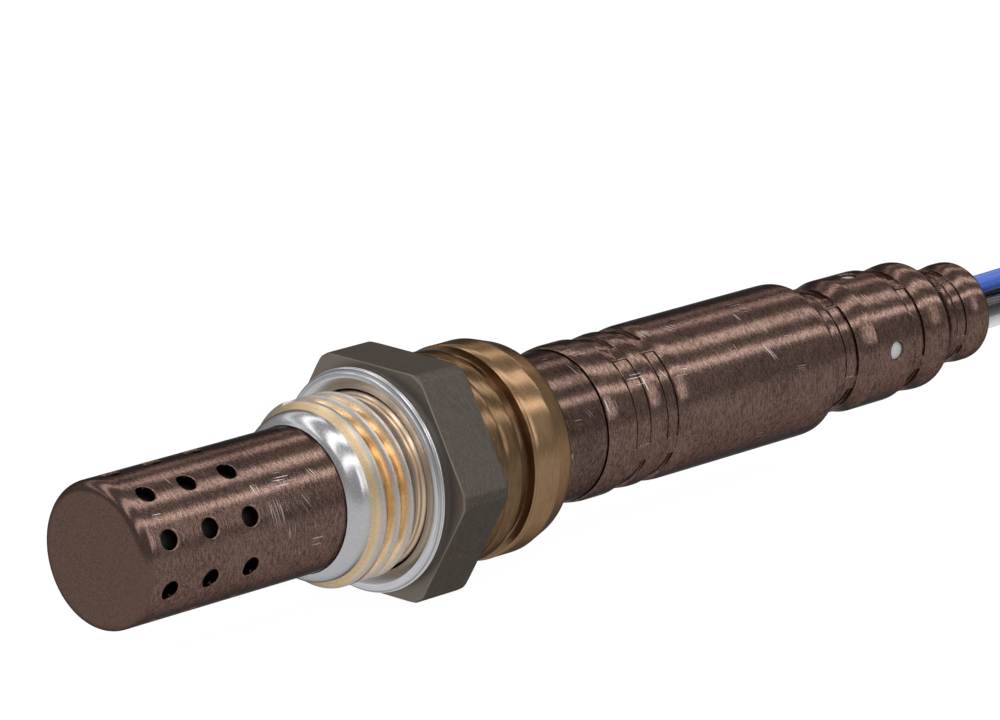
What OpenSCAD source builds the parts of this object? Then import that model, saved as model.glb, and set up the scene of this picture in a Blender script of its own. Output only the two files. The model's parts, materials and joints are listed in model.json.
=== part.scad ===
// Heated exhaust oxygen sensor with four leads and their plug.
// The sensor's axis is X, and +X runs towards the leads.
// X = 0 is the gasket's sealing face, which meets the exhaust boss.
// The sensor lies on one flat of its hexagon.

/* [Gasket] */
// Thickness of the folded sealing ring
gasket_t = 1.6; // [1.2:0.1:2.4]
// Radial width of the sealing ring
gasket_w = 1.6; // [1.4:0.1:1.8]

/* [Shell] */
// Major diameter of the thread
thread_d = 18; // [17.6:0.1:20]
// Distance from one thread crest to the next, as the photograph shows it
thread_pitch = 1.75; // [1.3:0.05:1.8]
// Radial depth of the thread
thread_depth = 0.92; // [0.8:0.02:1]
// Number of thread crests
thread_crests = 3; // [3:1:6]
// Length added in front of the first crest for its slanted lead-in
lead_in = 0.5; // [0.3:0.1:1.2]
// Length of the plain undercut between thread and hexagon
undercut_len = 2.65; // [2.2:0.05:4]
// Length of the rolled nose in front of the thread
nose_len = 1.5; // [1.2:0.1:2.5]
// Width of the hexagon across its flats
hex_af = 22; // [22:0.5:26]
// Thickness of the hexagon
hex_t = 5.8; // [5:0.2:9]
// Diameter of the collar behind the hexagon
collar_d = 20.6; // [20.2:0.1:21.4]
// Length of the collar behind the hexagon
collar_t = 4; // [3:0.2:6]
// Width of the crimp groove
groove_w = 1.5; // [1:0.1:2]
// Diameter of the rear ring
ring_d = 20.9; // [20.4:0.1:21.6]
// Length of the rear ring
ring_t = 3.2; // [2.4:0.2:5]
// Length of the cone at the shell's rear end
cone_t = 2.6; // [2:0.1:4]
// Wall between the rear cavity and the crimp groove
shell_wall = 1.1; // [0.8:0.1:1.3]
// From the nose's front to the seat of the protectors' flanges
flange_seat = 0.8; // [0.6:0.1:1.2]
// From the hexagon's front to the seat of the thimble
seat_depth = 0.9; // [0.5:0.1:1.2]
// Length of the rolled lip behind the crimp ring
lip_len = 1.2; // [1:0.1:1.6]
// Chamfer of the hexagon's corners, along the axis
hex_chamfer = 0.4; // [0.2:0.1:0.8]

/* [Protectors] */
// Outer diameter of the outer protector
protector_d = 14; // [13:0.1:14.4]
// Length of the outer protector in front of the shell
protector_len = 24.7; // [20:0.5:34]
// Sheet thickness of both protectors
protector_sheet = 0.5; // [0.4:0.05:0.6]
// Radial gas gap between the two protectors
gas_gap = 0.8; // [0.6:0.1:1]
// Diameter of the gas holes
gas_hole_d = 1.9; // [1.2:0.1:2.4]
// Number of rows of gas holes round the protector
gas_rows = 9; // [5:1:10]
// Spacing of the gas holes along a row
gas_pitch = 4.94; // [3:0.02:5.6]
// From the outer protector's front to its first gas holes
gas_hole_x = 3.25; // [2.6:0.05:4]
// Gap between the front ends of the two protectors
tip_gap = 3; // [1:0.5:4]
// From the outer protector's front to the tip of the thimble
tip_depth = 6.6; // [5.4:0.2:8]

/* [Rear covers] */
// Diameter of the outer cover
cover_d = 15.5; // [15:0.1:16]
// Sheet thickness of the outer cover
cover_wall = 0.3; // [0.25:0.05:0.4]
// Sheet thickness of the main cover
main_wall = 0.45; // [0.35:0.05:0.6]
// Bare length of main cover between the shell and the outer cover
bare_len = 7.2; // [5:0.2:12]
// From the outer cover's front edge to its first crimp band
band_lead = 4.3; // [3.6:0.1:6]
// Distance from the first crimp band to the second
band_pitch = 4.3; // [4:0.1:6]
// Width of the first crimp band
band_1_w = 1.8; // [1.4:0.1:2.2]
// Width of the second crimp band
band_2_w = 1.3; // [1:0.1:1.8]
// From the second crimp band to the plain part
band_out = 3; // [2.6:0.1:4]
// Length of the plain part of the outer cover
body_len = 21.3; // [18:0.1:34]
// Length of the shoulder down to the first waist
shoulder_len = 4.8; // [4:0.1:6]
// Length of the flare from the first waist to the vents
flare_len = 2.5; // [2:0.1:3.5]
// Diameter of the vented part of the outer cover
vent_d = 13.5; // [13:0.1:13.9]
// Length of the vented part of the outer cover
vent_len = 5.4; // [4.6:0.2:8]
// Diameter of a vent hole
vent_hole_d = 1.9; // [1.2:0.1:2.6]
// How far the waists lie inside the vented part
waist_depth = 0.35; // [0.2:0.05:0.4]
// Width of the crimps behind the plain part
crimp_w = 1.6; // [1.2:0.1:1.8]
// Length of the taper from the vents to the second waist
taper_len = 2.6; // [2.4:0.1:3.4]
// Length of the swelling round the grommet's front
bush_len = 2.9; // [2.5:0.1:4]
// Length of the taper from the swelling to the neck
neck_len = 4.8; // [4:0.1:6]
// Length of the tail behind the neck
tail_len = 3.6; // [3:0.1:5]
// Wall of the filter sleeve
filter_t = 0.65; // [0.5:0.05:0.8]
// Diameter of the outer cover's tail
tail_d = 10.2; // [9.6:0.1:11]
// Width of the plain ribs between two crimp segments
crimp_rib = 1.8; // [1.2:0.1:2.6]

/* [Sensing parts] */
// Diameter of the zirconia thimble inside the shell
element_d = 7.8; // [7.2:0.1:8.2]
// Diameter of the thimble's flange
flange_d = 12.4; // [11.6:0.1:13]
// Thickness of the thimble's flange
flange_t = 4.4; // [3.6:0.2:6]
// Thickness of the washer under the thimble's flange
washer_t = 0.4; // [0.3:0.1:0.6]
// Length of the thimble behind the main cover's front
element_tail = 4; // [3:0.5:5]
// Thickness of the ring under the shell's rolled lip
crimp_ring_t = 1.7; // [1.4:0.1:2]
// Diameter of the heater rod
heater_d = 3; // [2.6:0.1:3.2]
// Length of the alumina sleeve behind the talc
insulator_len = 4.2; // [3:0.2:5]
// Diameter of the separator's body
separator_d = 11.8; // [11:0.1:12.4]
// Length of the separator's body in front of its flange
separator_len = 11.2; // [9:0.2:14]
// Thickness of the separator's flange
separator_flange_t = 2.4; // [1.8:0.1:2.8]
// Length of the separator's neck behind its flange
separator_neck = 4.4; // [3:0.1:5]

/* [Leads and plug] */
// Outer diameter of one lead
lead_d = 2; // [1.6:0.1:2.2]
// Radius of the circle of leads in the grommet
lead_circle = 1.96; // [1.9:0.02:2.2]
// Radius of the circle of terminals in the separator
terminal_circle = 3.4; // [3.2:0.1:3.5]
// Width of the plug
plug_w = 16; // [15:0.5:22]
// Height of the plug
plug_h = 15; // [14:0.5:20]
// Length of the plug
plug_len = 26; // [24:1:34]
// Length of the straight runs in the hank of stored leads
hank_run = 34; // [30:1:40]
// Radius of the bundle's middle line round the ends of the hank
hank_r = 8; // [7.6:0.1:8.2]
// Thickness of the band that ties the hank
tie_t = 0.5; // [0.3:0.1:0.8]
// Width of the band that ties the hank
tie_w = 6; // [4:0.5:10]

/* [Hidden] */
$fn = 64;

// Clearance of a seated fit
fit = 0.02;

// Angle of the first lead and of the first vent, from +Y towards +Z
lead_phase = -2;

// Radii of the shell, from the thread and from what passes through it
core_r = thread_d / 2 - thread_depth;
nose_r = core_r - 0.08;
protector_r = protector_d / 2;
lip_r = protector_r + fit;
pocket_r = protector_r + 0.4;
passage_r = element_d / 2 + 1;
inner_protector_r = protector_r - protector_sheet - gas_gap;

// Radii of the rear covers, from the outside inwards
cover_r = cover_d / 2;
cover_front_r = cover_r - 0.02;
band_floor_r = cover_r - 0.42;
main_front_r = cover_front_r - cover_wall - fit;
main_rear_r = band_floor_r - cover_wall - fit;
vent_r = vent_d / 2;
waist_r = vent_r - waist_depth;
filter_r = vent_r - cover_wall - fit;
main_tail_r = filter_r - filter_t - fit;
crimp_floor_r = main_tail_r + fit + cover_wall;
bush_r = vent_r - 0.18;
tail_r = tail_d / 2;
tail_neck_r = tail_r - 0.16;
tail_floor_r = tail_r - 0.4;
cavity_r = main_front_r + 0.8;
flange_r = flange_d / 2;

// Places along the shell, from the gasket's sealing face
hex_x = gasket_t;
thread_end = hex_x - undercut_len;
thread_x = thread_end - thread_crests * thread_pitch - lead_in;
nose_x = thread_x - nose_len;
protector_x = nose_x - protector_len;
collar_x = hex_x + hex_t;
groove_x = collar_x + collar_t;
ring_x = groove_x + groove_w;
cone_x = ring_x + ring_t;
shell_end = cone_x + cone_t;

// Places inside the shell, from the front
pocket_x = nose_x + flange_seat;
flange_sheet = protector_sheet;
pocket_end = pocket_x + 2 * flange_sheet + fit;
seat_x = hex_x - seat_depth;
element_x = seat_x + washer_t;
cavity_x = element_x + flange_t;
rear_lip_x = shell_end - lip_len;
main_x = rear_lip_x - crimp_ring_t - main_wall;
insulator_x = main_x - insulator_len;

// Places along the rear covers
cover_x = shell_end + bare_len;
band_1_x = cover_x + band_lead;
band_2_x = band_1_x + band_pitch;
body_x = band_2_x + band_out;
shoulder_x = body_x + body_len;
waist_1_x = shoulder_x + shoulder_len;
vent_x = waist_1_x + flare_len;
vent_end = vent_x + vent_len;
vent_mid = (vent_x + vent_end) / 2 - 0.25;
waist_2_x = vent_end + taper_len;
bush_x = waist_2_x + bush_len;
neck_x = bush_x + neck_len;
exit_x = neck_x + tail_len;

// Angles of the ribs left between the crimping tool's jaws, as the photograph shows them
crimp_ribs = [22, 116, 199, 292];

// Places of the inner stack behind the thimble
tip_x = protector_x + tip_depth;
tip_r = element_d * 0.33;
element_end = main_x + element_tail;
separator_flange_x = shoulder_x - 4;
separator_x = separator_flange_x - separator_len;
separator_end = separator_flange_x + separator_flange_t + separator_neck;
spring_x = separator_flange_x + separator_flange_t + fit;
terminal_x = separator_x + 4;
terminal_end = separator_flange_x + 5;
heater_end = separator_x - 2;
main_end = bush_x + 0.2;

// The four leads as a bundle, folded into a hank in line with the sensor, and the plug beyond it
lead_r = lead_d / 2;
bundle_circle = 0.725 * lead_d;
bundle_d = 2 * (bundle_circle + lead_r);
floor_z = -hex_af / 2;
hank_x = exit_x + 41;
hank_end = hank_x + hank_run;
hank_in = hank_x - 9;
hank_out = hank_end + 8;
hank_low_z = floor_z + tie_t + bundle_d / 2;
hank_top_z = hank_low_z + 2 * bundle_d;
plug_x = hank_out + 21;
plug_y = hank_r / 2;
plug_z = floor_z + plug_h / 2;

// One lead in the sensor: x from the exit, share of the way in from terminal to grommet
LEAD_INSIDE = [[-23, 0], [-19.5, 0.35], [-16.6, 0.76], [-14.2, 1], [-9, 1], [-4.5, 1]];
// Exit to hank: x from the exit, share of the way across and down, share of the way in, turn
LEAD_OUT = [
    [0, 0, 0, 0], [5, 0, 0, 0], [9, 0, 0, 0], [12, 0.07, 0.15, 10], [15, 0.21, 0.5, 22],
    [18, 0.4, 0.85, 35], [21, 0.6, 1, 48], [24, 0.79, 1, 62], [27, 0.93, 1, 76],
    [30, 0.99, 1, 89], [32, 1, 1, 98]
];
// Hank to plug: x from the hank, share of the way across and down, share of the way apart, turn
LEAD_PLUG = [
    [0, 0, 0, 1248], [3, 0.03, 0, 1259], [6, 0.14, 0.05, 1270], [9, 0.3, 0.2, 1281],
    [12, 0.53, 0.45, 1291], [15, 0.74, 0.72, 1299], [18, 0.92, 0.93, 1305],
    [20.5, 1, 1, 1307], [24, 1, 1, 1307], [28, 1, 1, 1307]
];

pin_pitch = 4.6;
seal_r = 1.85;
seal_len = 6;
pin_r = 1.05;

// A solid of revolution about X from [x, r] points
module turned(points) {
    rotate([0, 90, 0])
        rotate_extrude()
            polygon([for (p = points) [p[1], p[0]]]);
}

// A plain ring or tube about X
module tube(x0, x1, r_out, r_in) {
    turned([[x0, r_in], [x0, r_out], [x1, r_out], [x1, r_in]]);
}

// A round bar along X that stands off the axis by radius at an angle from +Y
module bar(x0, x1, radius, angle, r) {
    rotate([angle, 0, 0])
        translate([x0, radius, 0])
            rotate([0, 90, 0])
                cylinder(r = r, h = x1 - x0);
}

// A round hole through a wall, at x, pointing outwards at an angle from +Y
module radial_hole(x, angle, d, r0, r1) {
    rotate([angle, 0, 0])
        translate([x, r0, 0])
            rotate([-90, 0, 0])
                cylinder(d = d, h = r1 - r0);
}

// Points of an arc in the [x, r] plane
function arc(cx, cr, radius, from, to, steps) =
    [for (i = [0:steps])
        let (a = from + (to - from) * i / steps)
        [cx + radius * cos(a), cr + radius * sin(a)]];

// A curve that leaves its first point fast and reaches its last one flat
function settle(x0, r0, x1, r1, power, steps) =
    [for (i = [1:steps])
        let (s = i / steps)
        [x0 + (x1 - x0) * s, r1 + (r0 - r1) * pow(1 - s, power)]];

// A curve that leaves its first point flat and reaches its last one fast
function swell(x0, r0, x1, r1, power, steps) =
    [for (i = [1:steps])
        let (s = i / steps)
        [x0 + (x1 - x0) * s, r0 + (r1 - r0) * pow(s, power)]];

// The same outline moved inwards by a sheet's thickness, in reverse order
function inside(points, wall) =
    [for (i = [len(points) - 1:-1:0]) [points[i][0], points[i][1] - wall]];

// A closed can with a rounded end at x0, open at x1, and a flange at its mouth
module can(x0, x1, r, sheet, corner, mouth_r) {
    turned(concat(
        [[x0, 0]],
        arc(x0 + corner, r - corner, corner, 180, 90, 5),
        [[x1 - sheet, r], [x1 - sheet, mouth_r], [x1, mouth_r], [x1, r - sheet]],
        arc(x0 + corner, r - corner, corner - sheet, 90, 180, 5),
        [[x0 + sheet, 0]]
    ));
}

module outer_protector() {
    rim_x = pocket_x + flange_sheet;
    color("rosybrown")
        difference() {
            can(protector_x, rim_x, protector_r, protector_sheet, 1.1, pocket_r - fit);
            for (row = [0:gas_rows - 1], i = [0:2])
                radial_hole(protector_x + gas_hole_x + i * gas_pitch, row * 360 / gas_rows,
                    gas_hole_d, protector_r - 2 * protector_sheet, protector_r + 1);
        }
}

module inner_protector() {
    front_x = protector_x + tip_gap;
    first_hole = protector_x + gas_hole_x + gas_pitch / 2;
    rim_x = pocket_x + 2 * flange_sheet + fit;
    row_step = 360 / gas_rows;
    color("dimgray")
        difference() {
            can(front_x, rim_x, inner_protector_r, protector_sheet, 1, pocket_r - fit);
            for (row = [0:gas_rows - 1], i = [0:1])
                radial_hole(first_hole + i * gas_pitch, (row + 0.5) * row_step,
                    gas_hole_d * 0.6, inner_protector_r - 2 * protector_sheet,
                    inner_protector_r + 1);
        }
}

// Outline of the thread: a slanted lead-in, then a flat crest and a flat root for each pitch
function thread_outline() =
    [for (i = [0:thread_crests - 1])
        let (x = thread_x + lead_in + (i + 0.5) * thread_pitch)
        let (front_x = i == 0 ? thread_x + 0.05 : x - thread_pitch * 3 / 8)
        for (p = [
            [front_x, core_r],
            [x - thread_pitch / 12, thread_d / 2],
            [x + thread_pitch / 12, thread_d / 2],
            [x + thread_pitch * 3 / 8, core_r]
        ]) p];

module hexagon() {
    corner_r = hex_af / 2 / cos(30) - 0.4;
    intersection() {
        rotate([90, 0, 0])
            translate([hex_x, 0, 0])
                rotate([0, 90, 0])
                    cylinder(r = hex_af / 2 / cos(30), h = hex_t, $fn = 6);
        turned([
            [hex_x, 0], [hex_x, corner_r - 1.5 * hex_chamfer], [hex_x + hex_chamfer, corner_r],
            [collar_x - hex_chamfer, corner_r], [collar_x, corner_r - 1.5 * hex_chamfer],
            [collar_x, 0]
        ]);
    }
}

module shell() {
    collar_r = collar_d / 2;
    ring_r = ring_d / 2;
    color("goldenrod")
        difference() {
            union() {
                turned(concat(
                    [[nose_x, 0], [nose_x, lip_r + 0.05]],
                    arc(nose_x + nose_len, nose_r - nose_len, nose_len, 150, 90, 6),
                    thread_outline(),
                    [
                        [thread_end, core_r - 0.1],
                        [hex_x - 0.6, core_r - 0.1], [hex_x, core_r + 0.5],
                        [hex_x + 1, core_r + 0.5], [hex_x + 1, 0]
                    ]
                ));
                hexagon();
                turned([
                    [collar_x - 1, 0], [collar_x - 1, collar_r], [groove_x - 0.15, collar_r],
                    [groove_x, collar_r - 0.15], [groove_x, cavity_r + shell_wall],
                    [ring_x, cavity_r + shell_wall], [ring_x, ring_r - 0.2],
                    [ring_x + 0.15, ring_r], [cone_x, ring_r], [cone_x + 0.3, ring_r - 0.08],
                    [shell_end - 0.25, ring_r - 0.75], [shell_end, ring_r - 1.1],
                    [shell_end, 0]
                ]);
            }
            turned([
                [nose_x - 1, 0], [nose_x - 1, lip_r], [pocket_x, lip_r], [pocket_x, pocket_r],
                [pocket_end, pocket_r], [pocket_end, passage_r], [seat_x, passage_r],
                [seat_x, flange_r + 0.05], [cavity_x, flange_r + 0.05], [cavity_x, cavity_r],
                [rear_lip_x, cavity_r], [rear_lip_x, main_front_r + 0.05],
                [shell_end + 1, main_front_r + 0.05], [shell_end + 1, 0]
            ]);
        }
}

// Folded from one strip: a flat front, folds that show as fine ribs, and a narrower back
module gasket() {
    fold = gasket_t / 8;
    in_r = thread_d / 2 + 0.15;
    out_r = in_r + gasket_w;
    back_r = out_r - gasket_w / 2;
    color("silver")
        turned([
            [gasket_t - 0.1, in_r + 0.2], [0.9, in_r], [0.25, in_r + 0.15], [0, in_r + 0.55],
            [0, out_r - 0.4], [fold / 2, out_r - 0.22], [fold, out_r - 0.1],
            [fold * 1.5, out_r - 0.16], [fold * 2, out_r - 0.01], [fold * 2.3, out_r],
            [fold * 2.6, out_r - 0.1], [fold * 3.1, out_r - 0.02], [fold * 3.5, out_r - 0.06],
            [fold * 4, out_r - 0.3], [fold * 6.5, back_r + 0.1], [gasket_t, back_r],
            [gasket_t, in_r + 0.4]
        ]);
}

module packing_washer() {
    color("gray")
        tube(seat_x, seat_x + washer_t, flange_r, element_d / 2 + 0.3);
}

module sensing_element() {
    body_r = element_d / 2;
    bore_r = heater_d / 2 + 0.2;
    rear_r = body_r + 0.4;
    color("ivory")
        turned(concat(
            [[tip_x, 0]],
            arc(tip_x + tip_r, 0, tip_r, 170, 90, 6),
            [
                [nose_x + 3, body_r - 0.2], [element_x, body_r],
                [element_x, flange_r - 0.3], [element_x + 0.3, flange_r],
                [cavity_x - 0.3, flange_r], [cavity_x, flange_r - 0.3], [cavity_x, rear_r],
                [element_end, rear_r], [element_end, bore_r + 0.45],
                [element_end - 9, bore_r + 0.45], [element_end - 9.4, bore_r]
            ],
            arc(tip_x + tip_r, 0, bore_r, 90, 180, 4)
        ));
}

module talc_ring() {
    color("whitesmoke")
        tube(cavity_x, insulator_x, cavity_r - fit, element_d / 2 + 0.4 + fit);
}

module insulator_ring() {
    color("white")
        tube(insulator_x, main_x, cavity_r - fit, element_d / 2 + 0.4 + fit);
}

module crimp_ring() {
    in_r = main_front_r + fit;
    out_r = cavity_r - fit;
    x = main_x + main_wall;
    color("gray")
        turned([
            [x, in_r], [x, out_r], [rear_lip_x - 0.4, out_r], [rear_lip_x, out_r - 0.3],
            [rear_lip_x, in_r]
        ]);
}

module heater_rod() {
    r = heater_d / 2;
    front_x = tip_x + tip_r - 1;
    color("white")
        turned([
            [front_x, 0], [front_x, r - 0.4], [front_x + 0.6, r], [heater_end - 0.3, r],
            [heater_end, r - 0.3], [heater_end, 0]
        ]);
}

// A flat tail that runs from a contact into the separator's bore at an angle
module contact_tail(x0, r0, angle) {
    strip = 0.3;
    rotate([angle, 0, 0]) {
        translate([x0, min(r0, terminal_circle - strip / 2), -0.8])
            cube([strip, abs(terminal_circle - r0) + strip, 1.6]);
        translate([x0, terminal_circle - strip / 2, -0.8])
            cube([terminal_x - x0, strip, 1.6]);
    }
}

module inner_contact() {
    r = heater_d / 2 + fit;
    bore_r = heater_d / 2 + 0.2 + 0.45;
    color("gold") {
        difference() {
            union() {
                tube(element_end - 8.6, element_end + 3, bore_r - fit, r);
                contact_tail(element_end + 2.7, r + 0.1, lead_phase + 90);
            }
            translate([element_end - 9, -4, -0.3])
                cube([8, 4, 0.6]);
        }
    }
}

module outer_contact() {
    r = element_d / 2 + 0.4 + fit;
    color("gold")
        difference() {
            union() {
                tube(main_x + 0.2, element_end, r + 0.4, r);
                tube(element_end, element_end + 0.4, r + 0.4, r - 0.6);
                contact_tail(element_end + 0.05, r - 0.2, lead_phase + 270);
            }
            translate([main_x, 2, -0.4])
                cube([element_end - main_x - 0.5, 4, 0.8]);
        }
}

// Terminals sit in the separator's bores: a flat blade in front and a crimped barrel behind
module terminal(angle) {
    color("silver")
        rotate([angle, 0, 0]) {
            translate([terminal_x, terminal_circle - 0.15, -0.8])
                cube([4.2, 0.3, 1.6]);
            difference() {
                translate([terminal_x + 4, terminal_circle, 0])
                    rotate([0, 90, 0])
                        cylinder(r = 1.15, h = terminal_end - terminal_x - 4);
                translate([terminal_x + 6, terminal_circle + 0.9, -0.5])
                    cube([2.4, 1, 1]);
            }
        }
}

module signal_terminal() {
    terminal(lead_phase + 90);
}

module ground_terminal() {
    terminal(lead_phase + 270);
}

// The two heater terminals also carry the clip that presses on the heater rod
module heater_terminal(angle) {
    terminal(angle);
    color("silver")
        contact_tail(heater_end - 4, heater_d / 2 + fit, angle);
}

module heater_terminal_1() {
    heater_terminal(lead_phase);
}

module heater_terminal_2() {
    heater_terminal(lead_phase + 180);
}

module separator() {
    r = separator_d / 2;
    neck_r = main_tail_r - main_wall - 0.4;
    flange_end = separator_flange_x + separator_flange_t;
    flange_out_r = main_rear_r - main_wall - fit;
    color("ivory")
        difference() {
            turned([
                [separator_x, 0], [separator_x, r - 0.3], [separator_x + 0.3, r],
                [separator_flange_x, r], [separator_flange_x, flange_out_r],
                [flange_end, flange_out_r], [flange_end, neck_r],
                [separator_end - 0.3, neck_r], [separator_end, neck_r - 0.3],
                [separator_end, 0]
            ]);
            for (k = [0:3])
                bar(separator_x - 1, separator_end + 1, terminal_circle,
                    lead_phase + k * 90, 1.25);
        }
}

// A dished washer between the separator's flange and the main cover's shoulder
module disc_spring() {
    in_r = main_tail_r - main_wall - 0.35;
    out_r = main_rear_r - main_wall - 0.15;
    color("gray")
        turned([
            [spring_x, in_r], [spring_x + 0.35, out_r], [spring_x + 0.6, out_r],
            [spring_x + 0.25, in_r]
        ]);
}

// The main cover steps down behind the bands, and again under the outer cover's waist
function main_outline() = [
    [main_x + main_wall, cavity_r - fit], [main_x + main_wall, main_front_r],
    [band_1_x - 1.4, main_front_r], [band_1_x - 0.7, main_rear_r],
    [shoulder_x - 0.9, main_rear_r], [shoulder_x + 1.4, main_tail_r + 0.25],
    [shoulder_x + 2.2, main_tail_r], [main_end, main_tail_r]
];

module main_cover() {
    color("rosybrown")
        difference() {
            turned(concat(
                [[main_x, cavity_r - fit]],
                main_outline(),
                [
                    [main_end, main_tail_r - main_wall],
                    [shoulder_x + 2, main_tail_r - main_wall],
                    [shoulder_x + 1.1, main_tail_r + 0.2 - main_wall],
                    [shoulder_x - 1.1, main_rear_r - main_wall],
                    [band_1_x - 0.9, main_rear_r - main_wall],
                    [band_1_x - 1.6, main_front_r - main_wall],
                    [main_x, main_front_r - main_wall]
                ]
            ));
            for (k = [0:3])
                radial_hole(vent_mid, lead_phase + k * 90, vent_hole_d * 0.8,
                    main_tail_r - 2 * main_wall, main_tail_r + 1);
        }
}

// The filter's front edge is caught under the cover's first waist
module filter() {
    lift = filter_r - vent_r;
    in_r = main_tail_r + fit;
    flare = swell(waist_1_x, waist_r, vent_x, vent_r, 2, 4);
    color("white")
        turned([
            [flare[1][0], in_r], [flare[1][0], flare[1][1] + lift],
            [flare[2][0], flare[2][1] + lift], [flare[3][0], filter_r],
            [vent_end - 0.2, filter_r], [vent_end + 0.1, filter_r - 0.04],
            [vent_end + 0.1, in_r]
        ]);
}

// Outer outline of the long cover, from its front edge to the lip round the grommet
function cover_outline() = concat(
    [
        [cover_x, cover_front_r], [band_1_x - 0.6, cover_front_r],
        [band_1_x + 0.6, cover_r - 0.24], [band_1_x + 2, cover_r - 0.24],
        [band_1_x + 3.4, cover_r - 0.08], [band_2_x - 0.4, cover_r - 0.08],
        [band_2_x + 0.7, cover_r - 0.19], [band_2_x + 1.6, cover_r - 0.18],
        [body_x, cover_r], [shoulder_x - 0.4, cover_r], [shoulder_x, cover_r - 0.08]
    ],
    settle(shoulder_x, cover_r - 0.08, waist_1_x - 0.5, waist_r, 2, 7),
    [[waist_1_x, waist_r]],
    swell(waist_1_x, waist_r, vent_x, vent_r, 2, 4),
    [[vent_end - 0.2, vent_r], [vent_end + 0.2, vent_r - 0.05]],
    settle(vent_end + 0.2, vent_r - 0.05, waist_2_x, waist_r - 0.03, 2, 4),
    swell(waist_2_x, waist_r - 0.03, bush_x - 0.6, bush_r, 1.6, 3),
    [[bush_x - 0.1, bush_r], [bush_x + 0.1, bush_r - 0.05]],
    settle(bush_x + 0.1, bush_r - 0.05, neck_x, tail_neck_r, 1.6, 6),
    [[neck_x + 0.8, tail_neck_r], [neck_x + 2, tail_r], [exit_x - 0.5, tail_r]],
    arc(exit_x - 0.4, tail_r - 0.4, 0.4, 90, 30, 3)
);

// Each crimp as [front x, rear x, floor radius, radius where it joins the sheet]
CRIMPS = [
    [band_1_x, band_1_x + band_1_w, band_floor_r, cover_r - 0.3],
    [band_2_x, band_2_x + band_2_w, band_floor_r, cover_r - 0.3],
    [waist_1_x - 0.3 - crimp_w, waist_1_x - 0.3, crimp_floor_r, waist_r - 0.06],
    [waist_2_x - 0.4 - crimp_w, waist_2_x - 0.4, crimp_floor_r, waist_r - 0.08],
    [neck_x - 0.2 - crimp_w * 0.7, neck_x - 0.2, tail_floor_r, tail_neck_r - 0.05]
];

// What lies between the ribs that the crimping tool left
module between_ribs() {
    difference() {
        children();
        for (angle = crimp_ribs)
            rotate([angle, 0, 0])
                translate([cover_x, 0, -crimp_rib / 2])
                    cube([exit_x - cover_x, cover_r + 2, crimp_rib]);
    }
}

module outer_cover() {
    color("rosybrown")
        difference() {
            union() {
                turned(concat(cover_outline(), inside(cover_outline(), cover_wall)));
                between_ribs()
                    for (c = CRIMPS)
                        tube(c[0] - 0.45, c[1] + 0.3, c[3], c[2] - cover_wall);
            }
            between_ribs()
                for (c = CRIMPS)
                    turned([
                        [c[0], c[2]], [c[1], c[2]], [c[1], c[2] + 0.6], [c[0] - 0.9, c[2] + 0.6]
                    ]);
            for (k = [0:3])
                radial_hole(vent_mid, lead_phase + k * 90, vent_hole_d,
                    filter_r - 0.1, vent_r + 1);
        }
}

module grommet() {
    in_main = main_tail_r - main_wall - fit;
    neck_in = tail_floor_r - cover_wall - fit;
    end_in = tail_neck_r - cover_wall - fit;
    crimp = CRIMPS[4];
    color("darkslategray")
        difference() {
            turned(concat(
                [
                    [vent_end, 0], [vent_end, in_main - 0.4], [vent_end + 0.4, in_main],
                    [main_end + fit, in_main], [main_end + fit, bush_r - cover_wall - 0.15]
                ],
                settle(main_end + fit, bush_r - cover_wall - 0.15, crimp[0] - 0.8,
                    tail_neck_r - 0.1, 1.3, 4),
                [
                    [crimp[0] - 0.5, neck_in], [crimp[1] + 0.35, neck_in],
                    [crimp[1] + 0.4, end_in], [neck_x + 0.8, end_in],
                    [exit_x - 0.9, tail_r - cover_wall - 0.1],
                    [exit_x - 0.5, tail_r - cover_wall - 0.4], [exit_x - 0.5, 0]
                ]
            ));
            for (k = [0:3])
                bar(vent_end - 1, exit_x + 1, lead_circle, lead_phase + k * 90, lead_r + fit);
        }
}

// Rings of eight points across a route, for a tube of radius r
function across(route, i) =
    let (last = len(route) - 1)
    let (d = route[min(i + 1, last)] - route[max(i - 1, 0)])
    i == 0 || i == last ? [sign(d[0]), 0, 0] : d / norm(d);
function sweep_points(route, r, sides) =
    [for (i = [0:len(route) - 1])
        let (t = across(route, i))
        let (u = cross([0, 0, 1], t) / norm(cross([0, 0, 1], t)))
        let (v = cross(t, u))
        for (k = [0:sides - 1])
            let (a = 360 * (k + 0.5) / sides)
            route[i] + r * cos(a) * u + r * sin(a) * v];
function sweep_sides(rings, sides) =
    [for (i = [0:rings - 2], k = [0:sides - 1])
        let (n = (k + 1) % sides)
        [i * sides + k, (i + 1) * sides + k, (i + 1) * sides + n, i * sides + n]];

module swept(route, r) {
    sides = 8;
    last = (len(route) - 1) * sides;
    polyhedron(
        points = sweep_points(route, r, sides),
        faces = concat(
            [[for (k = [0:sides - 1]) k]],
            sweep_sides(len(route), sides),
            [[for (k = [sides - 1:-1:0]) last + k]]
        )
    );
}

// A value the given share of the way from a to b
function between(a, b, share) = a + (b - a) * share;

// One lead's middle line inside the sensor, for the angle from +Y at which it leaves
function lead_inside(angle) =
    [for (p = LEAD_INSIDE)
        let (r = between(terminal_circle, lead_circle, p[1]))
        [exit_x + p[0], r * cos(angle), r * sin(angle)]];

// The bundle's middle line, from the exit to the hank and from the hank to the plug
OUT_MIDDLE = [for (p = LEAD_OUT)
    [exit_x + p[0], hank_r * p[1], between(0, hank_low_z, p[1])]];
PLUG_MIDDLE = [for (p = LEAD_PLUG)
    [hank_out + p[0], between(hank_r, plug_y, p[1]), between(hank_top_z, plug_z, p[1])]];

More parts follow.
